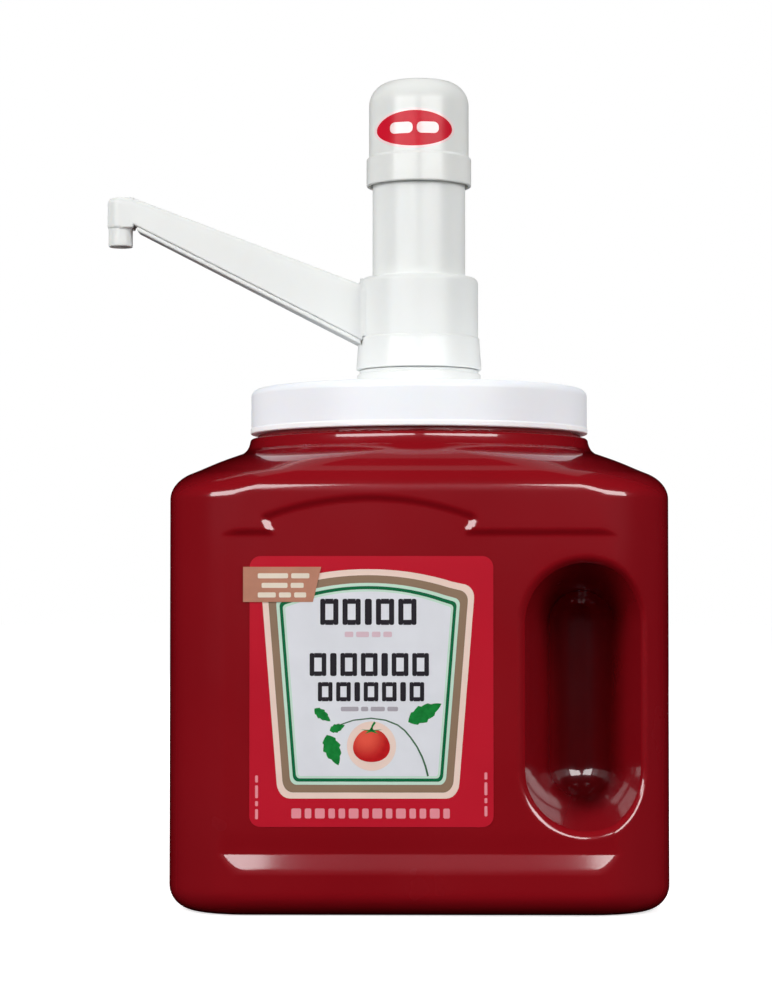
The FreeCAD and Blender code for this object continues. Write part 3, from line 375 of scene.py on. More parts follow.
def thread_ridge(name, root, crest, z0, start, turns, pitch, root_w, crest_w,
                 mat, body, sunk=0.4, taper=0.09):
    """A helical ridge whose ends run out into the wall."""
    steps = int(turns * 96)
    out = 1.0 if crest > root else -1.0
    verts, faces = [], []
    for i in range(steps + 1):
        share = i / steps
        grow = min(1.0, share / taper, (1 - share) / taper)
        grow = math.sin(max(grow, 0.02) * math.pi / 2)
        a = start + share * turns * 2 * math.pi
        z = z0 + share * turns * pitch
        high = root + (crest - root) * grow
        for r, dz in ((root - out * sunk, -root_w / 2), (root, -root_w / 2),
                      (high - out * 0.25, -crest_w / 2 - 0.12),
                      (high, -crest_w / 2 + 0.15), (high, crest_w / 2 - 0.15),
                      (high - out * 0.25, crest_w / 2 + 0.12),
                      (root, root_w / 2), (root - out * sunk, root_w / 2)):
            verts.append((r * math.cos(a), r * math.sin(a), z + dz))
    for i in range(steps):
        for k in range(8):
            quad = [i * 8 + k, i * 8 + (k + 1) % 8,
                    (i + 1) * 8 + (k + 1) % 8, (i + 1) * 8 + k]
            faces.append(quad if out < 0 else quad[::-1])
    caps = [list(range(8)), [steps * 8 + k for k in range(8)][::-1]]
    faces += caps if out > 0 else [c[::-1] for c in caps]
    return make(name, verts, faces, mat, body, smooth=False)


# ---- surfaces from a field
def round_and(a, b, r):
    """Common part of two solids, its edge rounded."""
    return (np.minimum(-r, np.maximum(a, b))
            + np.hypot(np.maximum(r + a, 0), np.maximum(r + b, 0)))


def round_or(a, b, r):
    """Union of two solids, with a hollow fillet between them."""
    return (np.maximum(r, np.minimum(a, b))
            - np.hypot(np.maximum(r - a, 0), np.maximum(r - b, 0)))


def smooth_max(a, b, k):
    h = np.maximum(k - np.abs(a - b), 0) / k
    return np.maximum(a, b) + h * h * k / 4


def ramp(a, b, x):
    t = np.clip((x - a) / (b - a), 0, 1)
    return t * t * (3 - 2 * t)


def gradient(field, p, h):
    g = np.empty_like(p)
    for axis in range(3):
        step = np.zeros(3)
        step[axis] = h
        a, b = p + step, p - step
        g[:, axis] = (field(a[:, 0], a[:, 1], a[:, 2])
                      - field(b[:, 0], b[:, 1], b[:, 2])) / (2 * h)
    return g


def net(field, xs, ys, zs, rounds=6, h=0.04):
    """Quads over the surface field = 0, their points moved onto it."""
    gx, gy, gz = np.meshgrid(xs, ys, zs, indexing="ij")
    value = field(gx.ravel(), gy.ravel(), gz.ravel()).reshape(gx.shape)
    inside = value < 0
    corners = np.zeros(tuple(n - 1 for n in value.shape), np.int8)
    offsets = [(i, j, k) for i in (0, 1) for j in (0, 1) for k in (0, 1)]
    nx, ny, nz = value.shape
    for i, j, k in offsets:
        corners += inside[i:nx - 1 + i, j:ny - 1 + j, k:nz - 1 + k]
    active = (corners > 0) & (corners < 8)
    ci, cj, ck = np.nonzero(active)
    total = np.zeros((len(ci), 3))
    count = np.zeros(len(ci))
    for a in offsets:
        for axis in range(3):
            if a[axis]:
                continue
            b = list(a)
            b[axis] = 1
            va = value[ci + a[0], cj + a[1], ck + a[2]]
            vb = value[ci + b[0], cj + b[1], ck + b[2]]
            cross = (va < 0) != (vb < 0)
            t = np.where(cross, va / np.where(va == vb, 1, va - vb), 0)
            pa = np.stack([xs[ci + a[0]], ys[cj + a[1]], zs[ck + a[2]]], 1)
            pb = np.stack([xs[ci + b[0]], ys[cj + b[1]], zs[ck + b[2]]], 1)
            total += np.where(cross[:, None], pa + t[:, None] * (pb - pa), 0)
            count += cross
    p = total / count[:, None]
    number = -np.ones(active.shape, np.int64)
    number[ci, cj, ck] = np.arange(len(ci))
    quads = []

    def gather(cross, first, cells):
        i, j, k = np.nonzero(cross)
        quad = np.stack([number[i + c[0], j + c[1], k + c[2]]
                         for c in cells], 1)
        flip = ~first[i, j, k]
        quad[flip] = quad[flip][:, ::-1]
        quads.append(quad[(quad >= 0).all(1)])

    s = inside
    cut = s[:-1, 1:-1, 1:-1] != s[1:, 1:-1, 1:-1]
    gather(cut, s[:-1, 1:-1, 1:-1],
           [(0, 0, 0), (0, 1, 0), (0, 1, 1), (0, 0, 1)])
    cut = s[1:-1, :-1, 1:-1] != s[1:-1, 1:, 1:-1]
    gather(cut, s[1:-1, :-1, 1:-1],
           [(0, 0, 0), (0, 0, 1), (1, 0, 1), (1, 0, 0)])
    cut = s[1:-1, 1:-1, :-1] != s[1:-1, 1:-1, 1:]
    gather(cut, s[1:-1, 1:-1, :-1],
           [(0, 0, 0), (1, 0, 0), (1, 1, 0), (0, 1, 0)])
    quads = np.concatenate(quads)
    limit = 0.6 * max(np.diff(xs).max(), np.diff(ys).max())
    for _ in range(rounds):
        g = gradient(field, p, h)
        size = np.maximum(np.linalg.norm(g, axis=1), 1e-6)
        f = field(p[:, 0], p[:, 1], p[:, 2])
        move = np.clip(f / size, -limit, limit)
        p = p - (g / size[:, None]) * move[:, None]
    g = gradient(field, p, h)
    normals = g / np.maximum(np.linalg.norm(g, axis=1), 1e-6)[:, None]
    return p, quads, normals


def spaced(*runs):
    """Grid lines: runs of (start, stop, step), joined."""
    out = []
    for start, stop, step in runs:
        n = max(1, int(round((stop - start) / step)))
        out += list(start + (stop - start) * np.arange(n) / n)
    out.append(runs[-1][1])
    return np.array(out)


# ------------------------------------------------------------------- the jug
HX, HY, RC = 80.4, 70.4, 26.0
TOP = 137.5
SLOPE_X = math.atan2(11.5, HX - 57.2)
SLOPE_Y = math.atan2(11.5, HY - 57.2)
PANEL = 1.0
GRIP_X, GRIP_Z, GRIP_HALF = 52.4, 68.8, 22.9
GRIP_MOUTH, GRIP_FLOOR, GRIP_DEEP = 20.1, 8.2, 36.0


def half_at(z, half, slope, r=10.0):
    turn = math.pi / 2 - slope
    t = r * math.tan(turn / 2)
    low, high = TOP - t, TOP + t * math.sin(slope)
    arc = half - r + np.sqrt(np.maximum(r * r - (z - low) ** 2, 0))
    line = half - (z - TOP) / math.tan(slope) \
        + 0.7 * np.sin(np.pi * np.clip((z - high) / (149.6 - high), 0, 1)) ** 2
    return np.where(z <= low, half, np.where(z < high, arc, line))


def plan(x, y, z):
    hx = half_at(z, HX, SLOPE_X)
    hy = half_at(z, HY, SLOPE_Y)
    t = np.clip((z - 131.5) / 17.5, 0, 1.2)
    r = RC + 31 * t * t * (2 - t)
    r = np.minimum(r, np.minimum(hx, hy) - 0.1)
    qx, qy = np.abs(x) - (hx - r), np.abs(y) - (hy - r)
    return (np.hypot(np.maximum(qx, 0), np.maximum(qy, 0))
            + np.minimum(np.maximum(qx, qy), 0) - r)


def panel_depth(x, z):
    """How deep the label panel is: 0 outside it."""
    u = np.abs(x + 15.6)
    top = np.hypot(u, z - (131.4 - 93.0)) - 93.0
    side = (u - 31.0 - 0.5 * (z - 120.6)) / 1.118
    tab = round_and(top, side, 1.2)
    outline = round_or(z - 120.6, np.where(z < 105, side, tab), 0.9)
    upper = 1 - ramp(-1.5, 1.5, outline)
    low = 1.28 * np.clip((z - 13.5) / 6.3, 0, 1) - 0.28 * ramp(19.8, 27.5, z)
    return PANEL * upper * low


def grip(x, y, z):
    """The tapered stadium pressed into the front and the back."""
    depth = HY - np.abs(y)
    dz = np.maximum(np.abs(z - GRIP_Z) - GRIP_HALF, 0)
    slope = (GRIP_MOUTH - GRIP_FLOOR) / GRIP_DEEP
    wall = (np.hypot(x - GRIP_X, dz) - (GRIP_MOUTH - slope * depth)) \
        / math.hypot(1, slope)
    return round_and(wall, depth - GRIP_DEEP, 6.5)


def jug_field(x, y, z):
    d = plan(x, y, z)
    rate = (plan(x, y, z + 0.2) - plan(x, y, z - 0.2)) / 0.4
    f = d / np.sqrt(1 + rate * rate)
    f = round_and(f, -z, 8.0)
    f = smooth_max(f, np.abs(y) - (HY - panel_depth(x, z)), 0.4)
    f = round_and(f, -grip(x, y, z), 2.1)
    rad = np.hypot(x, y)
    push = round_and((rad - (52.0 - 2.4 * z)) * 0.385, z - 2.5, 1.5)
    f = round_and(f, -push, 1.0)
    f = np.maximum(f, z - 150.0)
    bead = round_and(rad - 57.3, z - 153.2, 1.0)
    f = round_or(f, np.maximum(bead, 142.0 - z), 3.4)
    return np.minimum(f, np.maximum(rad - 54.7, 144.0 - z))


def jug_outer():
    step = 1.05
    fine = 0.6
    xs = spaced((-82.1, 28.1, step), (28.1, 76.1, step * 0.7),
                (76.1, 82.1, step))
    ys = spaced((-72.1, -63.1, step * 0.7), (-63.1, 63.1, step * 1.25),
                (63.1, 72.1, step * 0.7))
    zs = spaced((-1.7, 0.1, fine), (0.1, 12.1, step), (12.1, 20.9, fine),
                (20.9, 117.1, step * 0.8), (117.1, 151.9, fine),
                (151.9, 154.7, 0.56))
    return net(jug_field, xs, ys, zs)


def jug_inner():
    def field(x, y, z):
        return np.maximum(jug_field(x, y, z) + 1.2,
                          np.where(z > 146, np.hypot(x, y) - 51.2, -9))
    xs = spaced((-80.9, 80.9, 2.6))
    ys = spaced((-70.9, 70.9, 2.6))
    zs = spaced((0.3, 139.0, 2.6), (139.0, 153.2, 1.6))
    p, quads, normals = net(field, xs, ys, zs, rounds=5)
    return p, quads[:, ::-1], -normals


def open_loop(quads, points, z_min):
    """The open boundary near the top, in order of angle."""
    edges = np.concatenate([quads[:, [i, (i + 1) % 4]] for i in range(4)])
    key = np.sort(edges, 1)
    _, first, counts = np.unique(key, axis=0, return_index=True,
                                 return_counts=True)
    border = key[first[counts == 1]]
    ids = np.unique(border)
    ids = ids[points[ids, 2] > z_min]
    return ids[np.argsort(np.arctan2(points[ids, 1], points[ids, 0]))]


def build_jug():
    op, oq, on = jug_outer()
    ip, iq, inn = jug_inner()
    outer_loop = open_loop(oq, op, 150)
    inner_loop = open_loop(iq, ip, 150) + len(op)
    points = np.concatenate([op, ip])
    normals = np.concatenate([on, inn])
    faces = oq.tolist() + (iq + len(op)).tolist()
    ang = np.arctan2(points[:, 1], points[:, 0])
    i = j = 0
    no, ni = len(outer_loop), len(inner_loop)
    while i < no or j < ni:
        a, b = outer_loop[i % no], inner_loop[j % ni]
        ta = ang[outer_loop[i + 1]] if i + 1 < no else 9 + (i + 1 - no)
        tb = ang[inner_loop[j + 1]] if j + 1 < ni else 9 + (j + 1 - ni)
        if i < no and (ta <= tb or j >= ni):
            faces.append([int(a), int(outer_loop[(i + 1) % no]), int(b)])
            i += 1
        else:
            faces.append([int(a), int(inner_loop[(j + 1) % ni]), int(b)])
            j += 1
    return make("jug_body", points, faces, JUG_RED, "jug",
                normals, ("jug_shell",))


build_jug()
lathe("jug_neck", [(51.0, 152.6, 0.2), (54.74, 152.6, 0.2),
                   (54.74, 155.5, 0.35), (53.2, 156.1, 0.4),
                   (53.2, 166.9, 0.5), (51.0, 166.9, 0.5)],
      JUG_CLEAR, "jug")
thread_ridge("jug_thread", 53.2, 54.75, 158.5, 0.0, 1.25, 5.08, 3.2, 1.6,
             JUG_CLEAR, "jug")

# ------------------------------------------------------------------- the lid
lathe("lid_cap", [
    (55.1, 154.8, 0.35), (57.25, 154.8, 0.45), (57.25, 156.4, 0.5),
    (57.0, 156.75, 0.5), (57.0, 170.0, 2.6), (50.0, 170.0, 0.4),
    (49.7, 169.55, 0.3), (48.6, 169.55, 0.3), (48.3, 170.0, 0.4),
    (19.1, 170.0, 0.5), (19.1, 168.0, 0.3), (55.1, 168.0, 0.9)],
    LID_WHITE, "lid", ("lid",), segments=256)
thread_ridge("lid_thread", 55.1, 53.6, 157.39, math.pi / 2, 1.1, 5.08, 3.0,
             1.4, LID_WHITE, "lid")
lathe("swivel_collar", [
    (19.1, 170.8, 0.2), (21.0, 170.8, 0.35), (21.0, 175.1, 0.5),
    (20.2, 175.7, 0.3), (20.2, 176.6, 0.2), (19.1, 176.6, 0.2)],
    PUMP_WHITE, "lid", ("swivel_ring",))

# ------------------------------------------------------------------ the pump
lathe("body_cylinder", [
    (19.02, 176.8, 0.25), (21.3, 176.8, 0.45), (21.22, 178.5, 0.5),
    (20.62, 186.6, 0.45), (20.62, 187.4, 0.45), (20.15, 187.75, 0.4),
    (20.15, 208.2, 3.5), (15.95, 208.2, 0.8), (15.95, 205.7, 0.2),
    (17.8, 205.7, 0.2), (17.8, 184.55, 0.2), (19.02, 184.55, 0.2)],
    PUMP_WHITE, "pump", ("pump_body",))
lathe("sleeve_tube", [
    (14.3, 199.6, 0.3), (15.8, 199.6, 0.3), (15.8, 265.0, 0.3),
    (14.3, 265.0, 0.3)],
    PUMP_WHITE, "plunger", ("plunger_sleeve",))
lathe("knob_cap", [
    (0.0, 273.4), (14.9, 273.4, 7.0), (14.9, 265.0, 0.2), (15.85, 265.0, 0.2),
    (15.85, 247.8, 0.2), (16.7, 247.0, 0.3), (16.7, 239.5, 0.5),
    (17.85, 239.5, 0.55), (17.85, 248.8, 0.55), (17.0, 249.6, 0.45),
    (17.0, 275.3, 9.0), (0.0, 275.3)],
    KNOB_WHITE, "plunger", ("knob",))


ARM = dict(near=17.0, far=97.9, low=(183.8, 225.2), top=(204.6, 235.9),
           half=(8.5, 4.65))


def along_arm(pair, dist):
    return pair[0] + (pair[1] - pair[0]) * (dist - ARM["near"]) \
        / (ARM["far"] - ARM["near"])


def arm_field(x, y, z):
    dist = -x
    rad = np.hypot(x, y)
    low = along_arm(ARM["low"], dist) + 1.55
    top = along_arm(ARM["top"], dist)
    half = along_arm(ARM["half"], dist)
    f = round_and((z - top) * 0.9327, (np.abs(y) - half) * 0.999, 2.3)
    f = round_and(f, (low - z) * 0.8902, 0.55)
    f = np.maximum(f, dist - 98.6)
    tip = round_and(np.abs(y) - 4.62, z - 235.9, 2.3)
    tip = round_and(tip, 225.25 - z, 0.5)
    tip = np.maximum(tip, np.maximum(97.2 - dist, dist - 101.7))
    f = np.minimum(f, tip)
    pipe = np.hypot(dist - 101.7, y)
    upper = round_and(pipe - 4.62, z - 235.9, 2.0)
    upper = round_and(upper, 225.6 - z, 0.4)
    lower = round_and(pipe - 4.3, 219.1 - z, 0.5)
    lower = np.maximum(lower, z - 229)
    f = round_or(np.minimum(f, upper), lower, 0.5)
    skin = round_or(f, rad - 20.1, 1.6)
    f = np.maximum(np.maximum(skin, f - 2.2), 19.6 - rad)
    f = np.maximum(f, 187.9 - z - np.maximum(rad - 20.75, 0) * 60)
    # the hollow inside, the outlet and the bore of the outlet valve
    room = np.maximum(np.abs(y) - (half - 1.4), (z - top) * 0.93 + 1.5)
    room = np.maximum(room, np.maximum(34 - dist, dist - 97.9))
    tiproom = np.maximum(np.abs(y) - 3.0, np.maximum(z - 233.0, 227.0 - z))
    tiproom = np.maximum(tiproom, np.maximum(97.0 - dist, dist - 101.7))
    hole = np.maximum(pipe - 3.0, z - 233.0)
    hollow = np.minimum(np.minimum(room, tiproom), hole)
    f = round_and(f, -hollow, 0.3)
    c, s = math.cos(math.radians(23.75)), math.sin(math.radians(23.75))
    px, pz = dist - 20.15, z - 194.8
    run = px * c + pz * s
    bore = np.maximum(np.hypot(pz * c - px * s, y) - 5.6, run - 18.0)
    return np.maximum(f, -bore)


def cover_field(x, y, z):
    dist = -x
    low = along_arm(ARM["low"], dist)
    half = along_arm(ARM["half"], dist) - 0.16
    f = round_and((low - z) * 0.8902, (np.abs(y) - half) * 0.999, 0.45)
    f = round_and(f, (z - low - 1.5) * 0.8902, 0.3)
    f = round_and(f, dist - 95.9, 0.4)
    return np.maximum(f, 20.78 - np.hypot(x, y))


def build_arm():
    step = 0.42
    p, q, n = net(arm_field, spaced((-107.0, -17.0, step)),
                  spaced((-11.1, 11.1, step)), spaced((182.0, 237.0, step)),
                  rounds=8, h=0.03)
    make("arm_shell", p, q, PUMP_WHITE, "pump", n,
         ("spout_arm",))
    step = 0.36
    p, q, n = net(cover_field, spaced((-96.8, -19.5, step)),
                  spaced((-9.0, 9.0, step)), spaced((184.0, 227.0, step)),
                  rounds=8, h=0.03)
    make("arm_cover", p, q, PUMP_WHITE, "pump", n,
         ("spout_cover",))


build_arm()


def build_spring():
    mean, wire, low, high, turns = 12.0, 0.88, 154.48, 196.1, 6.5
    steps, around = int(turns * 72), 14
    verts, normals, faces = [], [], []
    rise = (high - low) / (turns * 2 * math.pi)
    for i in range(steps + 1):
        a = turns * 2 * math.pi * i / steps
        c = np.array([mean * math.cos(a), mean * math.sin(a), low + rise * a])
        t = np.array([-mean * math.sin(a), mean * math.cos(a), rise])
        t /= np.linalg.norm(t)
        r = np.array([math.cos(a), math.sin(a), 0.0])
        b = np.cross(t, r)
        for k in range(around):
            w = 2 * math.pi * k / around
            nrm = r * math.cos(w) + b * math.sin(w)
            verts.append(c + nrm * wire)
            normals.append(nrm)
    for i in range(steps):
        for k in range(around):
            m = (k + 1) % around
            faces.append([i * around + k, i * around + m,
                          (i + 1) * around + m, (i + 1) * around + k][::-1])
    faces.append(list(range(around)))
    faces.append([steps * around + k for k in range(around)][::-1])
    o = make("spring_coil", verts, faces, STEEL, "pump",
             normals, ("return_spring",))
    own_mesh(o)


build_spring()

# ---------------------------------------------------------------- the labels
FACE = HY - PANEL


def rounded_box(x0, x1, z0, z1, r, steps=7):
    out = []
    for cx, cz, a0 in ((x1 - r, z0 + r, -90), (x1 - r, z1 - r, 0),
                       (x0 + r, z1 - r, 90), (x0 + r, z0 + r, 180)):
        for k in range(steps + 1):
            a = math.radians(a0 + 90 * k / steps)
            out.append((cx + r * math.cos(a), cz + r * math.sin(a)))
    return out


def disc(cx, cz, rx, rz=None, steps=48):
    rz = rz or rx
    return [(cx + rx * math.cos(2 * math.pi * k / steps),
             cz + rz * math.sin(2 * math.pi * k / steps))
            for k in range(steps)]


def arched_box(x0, x1, z0, z1, rise, r, steps=20, lean=0.0):
    """Straight sides, a flat foot, a slightly arched top. With a lean the
    sides draw in a little towards the foot."""
    mid, half = (x0 + x1) / 2, (x1 - x0) / 2
    radius = (half * half + rise * rise) / (2 * rise)
    cz = z1 - radius
    out = []
    for cx, cy, a0 in ((x0 + r, z0 + r, 180), (x1 - r, z0 + r, 270)):
        for k in range(7):
            a = math.radians(a0 + 90 * k / 6)
            out.append((cx + r * math.cos(a), cy + r * math.sin(a)))
    turn = math.asin((half - r) / radius)
    end_z = cz + radius * math.cos(turn)
    for k in range(7):
        a = math.radians(90 - math.degrees(turn)) * k / 6
        out.append((x1 - r + r * math.cos(a), end_z - r + r * math.sin(a)
                    + r * (1 - math.cos(turn))))
    for k in range(1, steps):
        a = turn - 2 * turn * k / steps
        out.append((mid + radius * math.sin(a), cz + radius * math.cos(a)))
    for k in range(7):
        a = math.pi - math.radians(90 - math.degrees(turn)) * (6 - k) / 6
        out.append((x0 + r + r * math.cos(a), end_z - r + r * math.sin(a)
                    + r * (1 - math.cos(turn))))
    return [(mid + (x - mid) * (1 - lean * (109.0 - z) / (half + 2)), z)
            for x, z in out]


def stroke(points, wide, taper=True):
    """A line of that width along points, as an outline."""
    pts = np.array(points, float)
    d = np.gradient(pts, axis=0)
    d /= np.linalg.norm(d, axis=1)[:, None]
    side = np.stack([-d[:, 1], d[:, 0]], 1)
    n = len(pts)
    w = np.full(n, wide / 2)
    if taper:
        w *= np.linspace(0.6, 1.0, n)
    return [tuple(p) for p in pts + side * w[:, None]] \
        + [tuple(p) for p in (pts - side * w[:, None])[::-1]]


def leaf(x, z, length, wide, angle, teeth=4):
    """A pointed leaf with a toothed edge."""
    c, s = math.cos(math.radians(angle)), math.sin(math.radians(angle))
    one, two = [], []
    n = teeth * 4
    for k in range(n + 1):
        t = k / n
        w = wide / 2 * math.sin(math.pi * t ** 0.8) ** 0.9 if 0 < t < 1 else 0
        if 0 < t < 1:
            w *= 0.82 + 0.30 * ((k % 4) / 4)
        one.append((t * length, w))
        two.append((t * length, -w))
    outline = one + two[::-1][1:-1]
    return [(x + u * c - v * s, z + u * s + v * c) for u, v in outline]


def slab(name, outlines, depth, mat, side=-1, back=None, replaces=()):
    """Flat pieces that lie on the jug's panel, depth mm thick."""
    y0 = back if back is not None else FACE
    verts, faces = [], []
    for outline in outlines:
        area = sum(a[0] * b[1] - b[0] * a[1]
                   for a, b in zip(outline, outline[1:] + outline[:1]))
        pts = outline if area > 0 else outline[::-1]
        n, base = len(pts), len(verts)
        verts += [(x * -side, side * (y0 + depth), z) for x, z in pts]
        verts += [(x * -side, side * y0, z) for x, z in pts]
        faces.append([base + k for k in range(n)])
        faces.append([base + n + k for k in range(n)][::-1])
        for k in range(n):
            m = (k + 1) % n
            faces.append([base + n + k, base + n + m, base + m, base + k])
    return make(name, verts, faces, mat, "jug", replaces=replaces,
                smooth=False)


def mm_x(px):
    return (px - 419.0) / 3.188


def mm_z(py):
    return 105.3 + (580.6 - py) / 3.188


def bars(x0, x1, z0, z1, shares, gap, r):
    """A row of plain blocks that stands for a line of print."""
    total = sum(shares)
    wide = x1 - x0 - gap * (len(shares) - 1)
    out, x = [], x0
    for share in shares:
        w = wide * share / total
        out.append(rounded_box(x, x + w, z0, z1, min(r, w * 0.45,
                                                     (z1 - z0) * 0.45), 4))
        x += w + gap
    return out


def blocks(x0, x1, z0, z1, kinds, gap, line):
    """A row of plain marks for a line of print: o is a hollow block and m a
    narrow full one."""
    shares = {"o": 2.6, "m": 1.0}
    total = sum(shares[k] for k in kinds)
    wide = x1 - x0 - gap * (len(kinds) - 1)
    out, x = [], x0
    for kind in kinds:
        w = wide * shares[kind] / total
        if kind == "o":
            out += [rounded_box(x, x + line, z0, z1, line * 0.35, 3),
                    rounded_box(x + w - line, x + w, z0, z1, line * 0.35, 3),
                    rounded_box(x + line, x + w - line, z0, z0 + line, 0.02, 1),
                    rounded_box(x + line, x + w - line, z1 - line, z1, 0.02, 1)]
        else:
            out.append(rounded_box(x, x + w, z0, z1, line * 0.4, 3))
        x += w + gap
    return out


def front_label():
    film_t = 0.15
    slab("label_film", [rounded_box(-53.2, 23.3, 28.2, 113.0, 3.5, 10)],
         film_t, FILM_RED, replaces=("front_label",))
    x0, x1, z0, z1 = -50.0, 18.0, 37.1, 108.9
    layers = ((0.0, FILM_PEACH), (1.9, FILM_TAN), (4.3, FILM_MINT),
              (5.3, FILM_GREEN), (6.3, FILM_MINT), (7.0, FILM_WHITE))
    names = ("rim", "band", "gap", "line", "tint", "field")
    for number, ((inset, mat), name) in enumerate(zip(layers, names), 1):
        slab("plaque_" + name, [arched_box(
            x0 + inset, x1 - inset, z0 + inset, z1 - inset,
            6.5 * (1 - inset / 34.0), max(0.6, 4.5 - inset * 0.5),
            lean=0.085)],
            film_t + 0.022 * number, mat)
    high = film_t + 0.022 * 7
    ink = blocks(-31.0, -0.8, 91.4, 99.6, "oomoo", 1.3, 1.6)
    ink += blocks(-34.3, 3.1, 75.4, 82.6, "omoomoo", 1.2, 1.45)
    ink += blocks(-31.7, 1.6, 67.5, 73.5, "oomoomo", 1.15, 1.3)
    slab("print_dark", ink, high, FILM_INK)
    slab("print_grey", bars(-24.5, -6.6, 64.4, 65.8, (5, 2, 4, 3), 0.8, 0.4),
         high, FILM_GREY)
    slab("print_rose", bars(-23.3, -8.5, 87.6, 89.3, (2, 3, 2, 2), 0.9, 0.4),
         high, FILM_ROSE)
    # the picture of a tomato on its vine
    cx, cz = -14.9, 53.6
    slab("tomato_ring", [disc(cx, cz - 0.1, 7.7)], high, FILM_PEACH)
    fruit = []
    for k in range(64):
        a = 2 * math.pi * k / 64
        r = 5.5 * (1 + 0.035 * math.cos(3 * a + math.pi / 2)
                   - 0.10 * math.exp(-((a - math.pi / 2) / 0.35) ** 2))
        fruit.append((cx + r * 1.05 * math.cos(a), cz + r * 0.96 * math.sin(a)))
    slab("tomato_fruit", [fruit], high + 0.02, FILM_TOMATO)
    star = []
    for k in range(10):
        a = 2 * math.pi * k / 10 + math.pi / 2
        r = 2.9 if k % 2 == 0 else 0.85
        star.append((cx + r * math.cos(a) * 1.25, cz + 4.7 + r * 0.42 * math.sin(a)))
    stem = stroke([(cx, cz + 4.8), (cx + 0.3, cz + 6.2), (cx + 1.1, cz + 7.4)],
                  0.7)
    slab("tomato_star", [star, stem], high + 0.04, FILM_LEAF)
    leaves = [leaf(-32.8, 65.2, 6.4, 3.2, -38), leaf(-28.0, 58.3, 5.0, 2.8, 20),
              leaf(-28.9, 57.0, 10.2, 5.6, -69), leaf(-3.4, 61.0, 11.9, 5.6, 29)]
    slab("leaves", leaves, high, FILM_LEAF)
    bend = [(-24.6, 60.2), (-20.5, 61.6), (-15.0, 62.2), (-10.5, 61.6),
            (-6.7, 60.1), (-4.4, 58.3), (-2.5, 56.0), (-0.6, 53.2), (1.0, 50.0),
            (2.0, 47.2), (2.8, 44.1)]
    smooth = []
    for k in range(len(bend) - 1):
        for t in (0.0, 0.34, 0.67):
            smooth.append((bend[k][0] * (1 - t) + bend[k + 1][0] * t,
                           bend[k][1] * (1 - t) + bend[k + 1][1] * t))
    smooth.append(bend[-1])
    slab("vine", [stroke(smooth, 0.6)], high - 0.004, FILM_STEM)
    pale = bars(-40.0, 9.6, 30.9, 34.0,
                (3, 2, 3, 2, 2, 3, 2, 3, 2, 3, 2, 2, 3, 2), 1.15, 0.5)
    slab("print_pale", pale, film_t + 0.022, FILM_PINK)
    edge = []
    for x, run in ((-50.9, (30.6, 44.8)), (20.9, (31.6, 46.6))):
        z = run[0]
        for w in (3.2, 1.6, 4.0, 2.2, 1.4):
            if z + w > run[1]:
                break
            edge.append(rounded_box(x - 0.45, x + 0.45, z, z + w, 0.3, 3))
            z += w + 0.9
    slab("print_edge", edge, film_t + 0.022, FILM_PINK)


front_label()


def flag():
    outline = [(-55.2, 98.6), (-33.3, 98.6), (-30.7, 109.6), (-55.2, 109.6)]
    slab("flag_sticker", [outline], 0.40, FILM_FLAG,
         replaces=("corner_flag",))
    lines = bars(-50.6, -34.4, 106.0, 107.6, (5, 3), 1.0, 0.4)
    lines += bars(-49.4, -36.2, 103.0, 104.6, (4, 2), 1.0, 0.4)
    lines += bars(-50.6, -35.4, 100.0, 101.6, (3, 2, 2), 1.0, 0.4)
    slab("flag_print", lines, 0.42, FILM_FLAG_INK)


flag()


def back_label():
    """A plain label with a table and rows of print."""
    box_lo, box_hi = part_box("back_label")
    left, right = -box_hi.x / MM, -box_lo.x / MM     # seen from behind
    slab("back_film", [rounded_box(left, right, 28.2, 113.0, 3.5, 10)],
         0.15, FILM_RED, side=1, replaces=("back_label",))
    x0 = left + 5
    slab("back_table", [rounded_box(x0, x0 + 27, 36, 100, 1.2, 4)], 0.175,
         FILM_WHITE, side=1)
    rows = []
    for k in range(14):
        z = 95.5 - 4.2 * k
        high = 1.9 if k in (0, 3) else 0.9
        rows += bars(x0 + 2, x0 + (25 if k % 3 else 21), z - high, z,
                     ((4, 2, 3), (3, 5), (6, 2), (2, 3, 3))[k % 4], 1.1, 0.3)
    slab("back_print_dark", rows, 0.195, FILM_INK, side=1)
    rows = []
    for k in range(9):
        z = 98 - 4.4 * k
        rows += bars(x0 + 32, right - 5 - (k % 3) * 3, z - 1.3, z,
                     ((3, 2, 4), (4, 4, 2), (2, 5, 3))[k % 3], 1.3, 0.4)
    slab("back_print_pale", rows, 0.175, FILM_PINK, side=1)
    slab("back_code", [rounded_box(x0 + 32, right - 7, 36, 52, 0.8, 4)],
         0.175, FILM_WHITE, side=1)
    rows, x = [], x0 + 34
    for w in (0.5, 0.9, 0.4, 1.2, 0.5, 0.5, 1.0, 0.4, 0.8, 0.5, 1.1, 0.4, 0.6,
              0.9, 0.5, 0.4, 1.0, 0.5):
        if x + w > right - 9:
            break
        rows.append([(x, 38.5), (x + w, 38.5), (x + w, 50), (x, 50)])
        x += w + 0.6
    slab("back_code_lines", rows, 0.195, FILM_INK, side=1)


back_label()


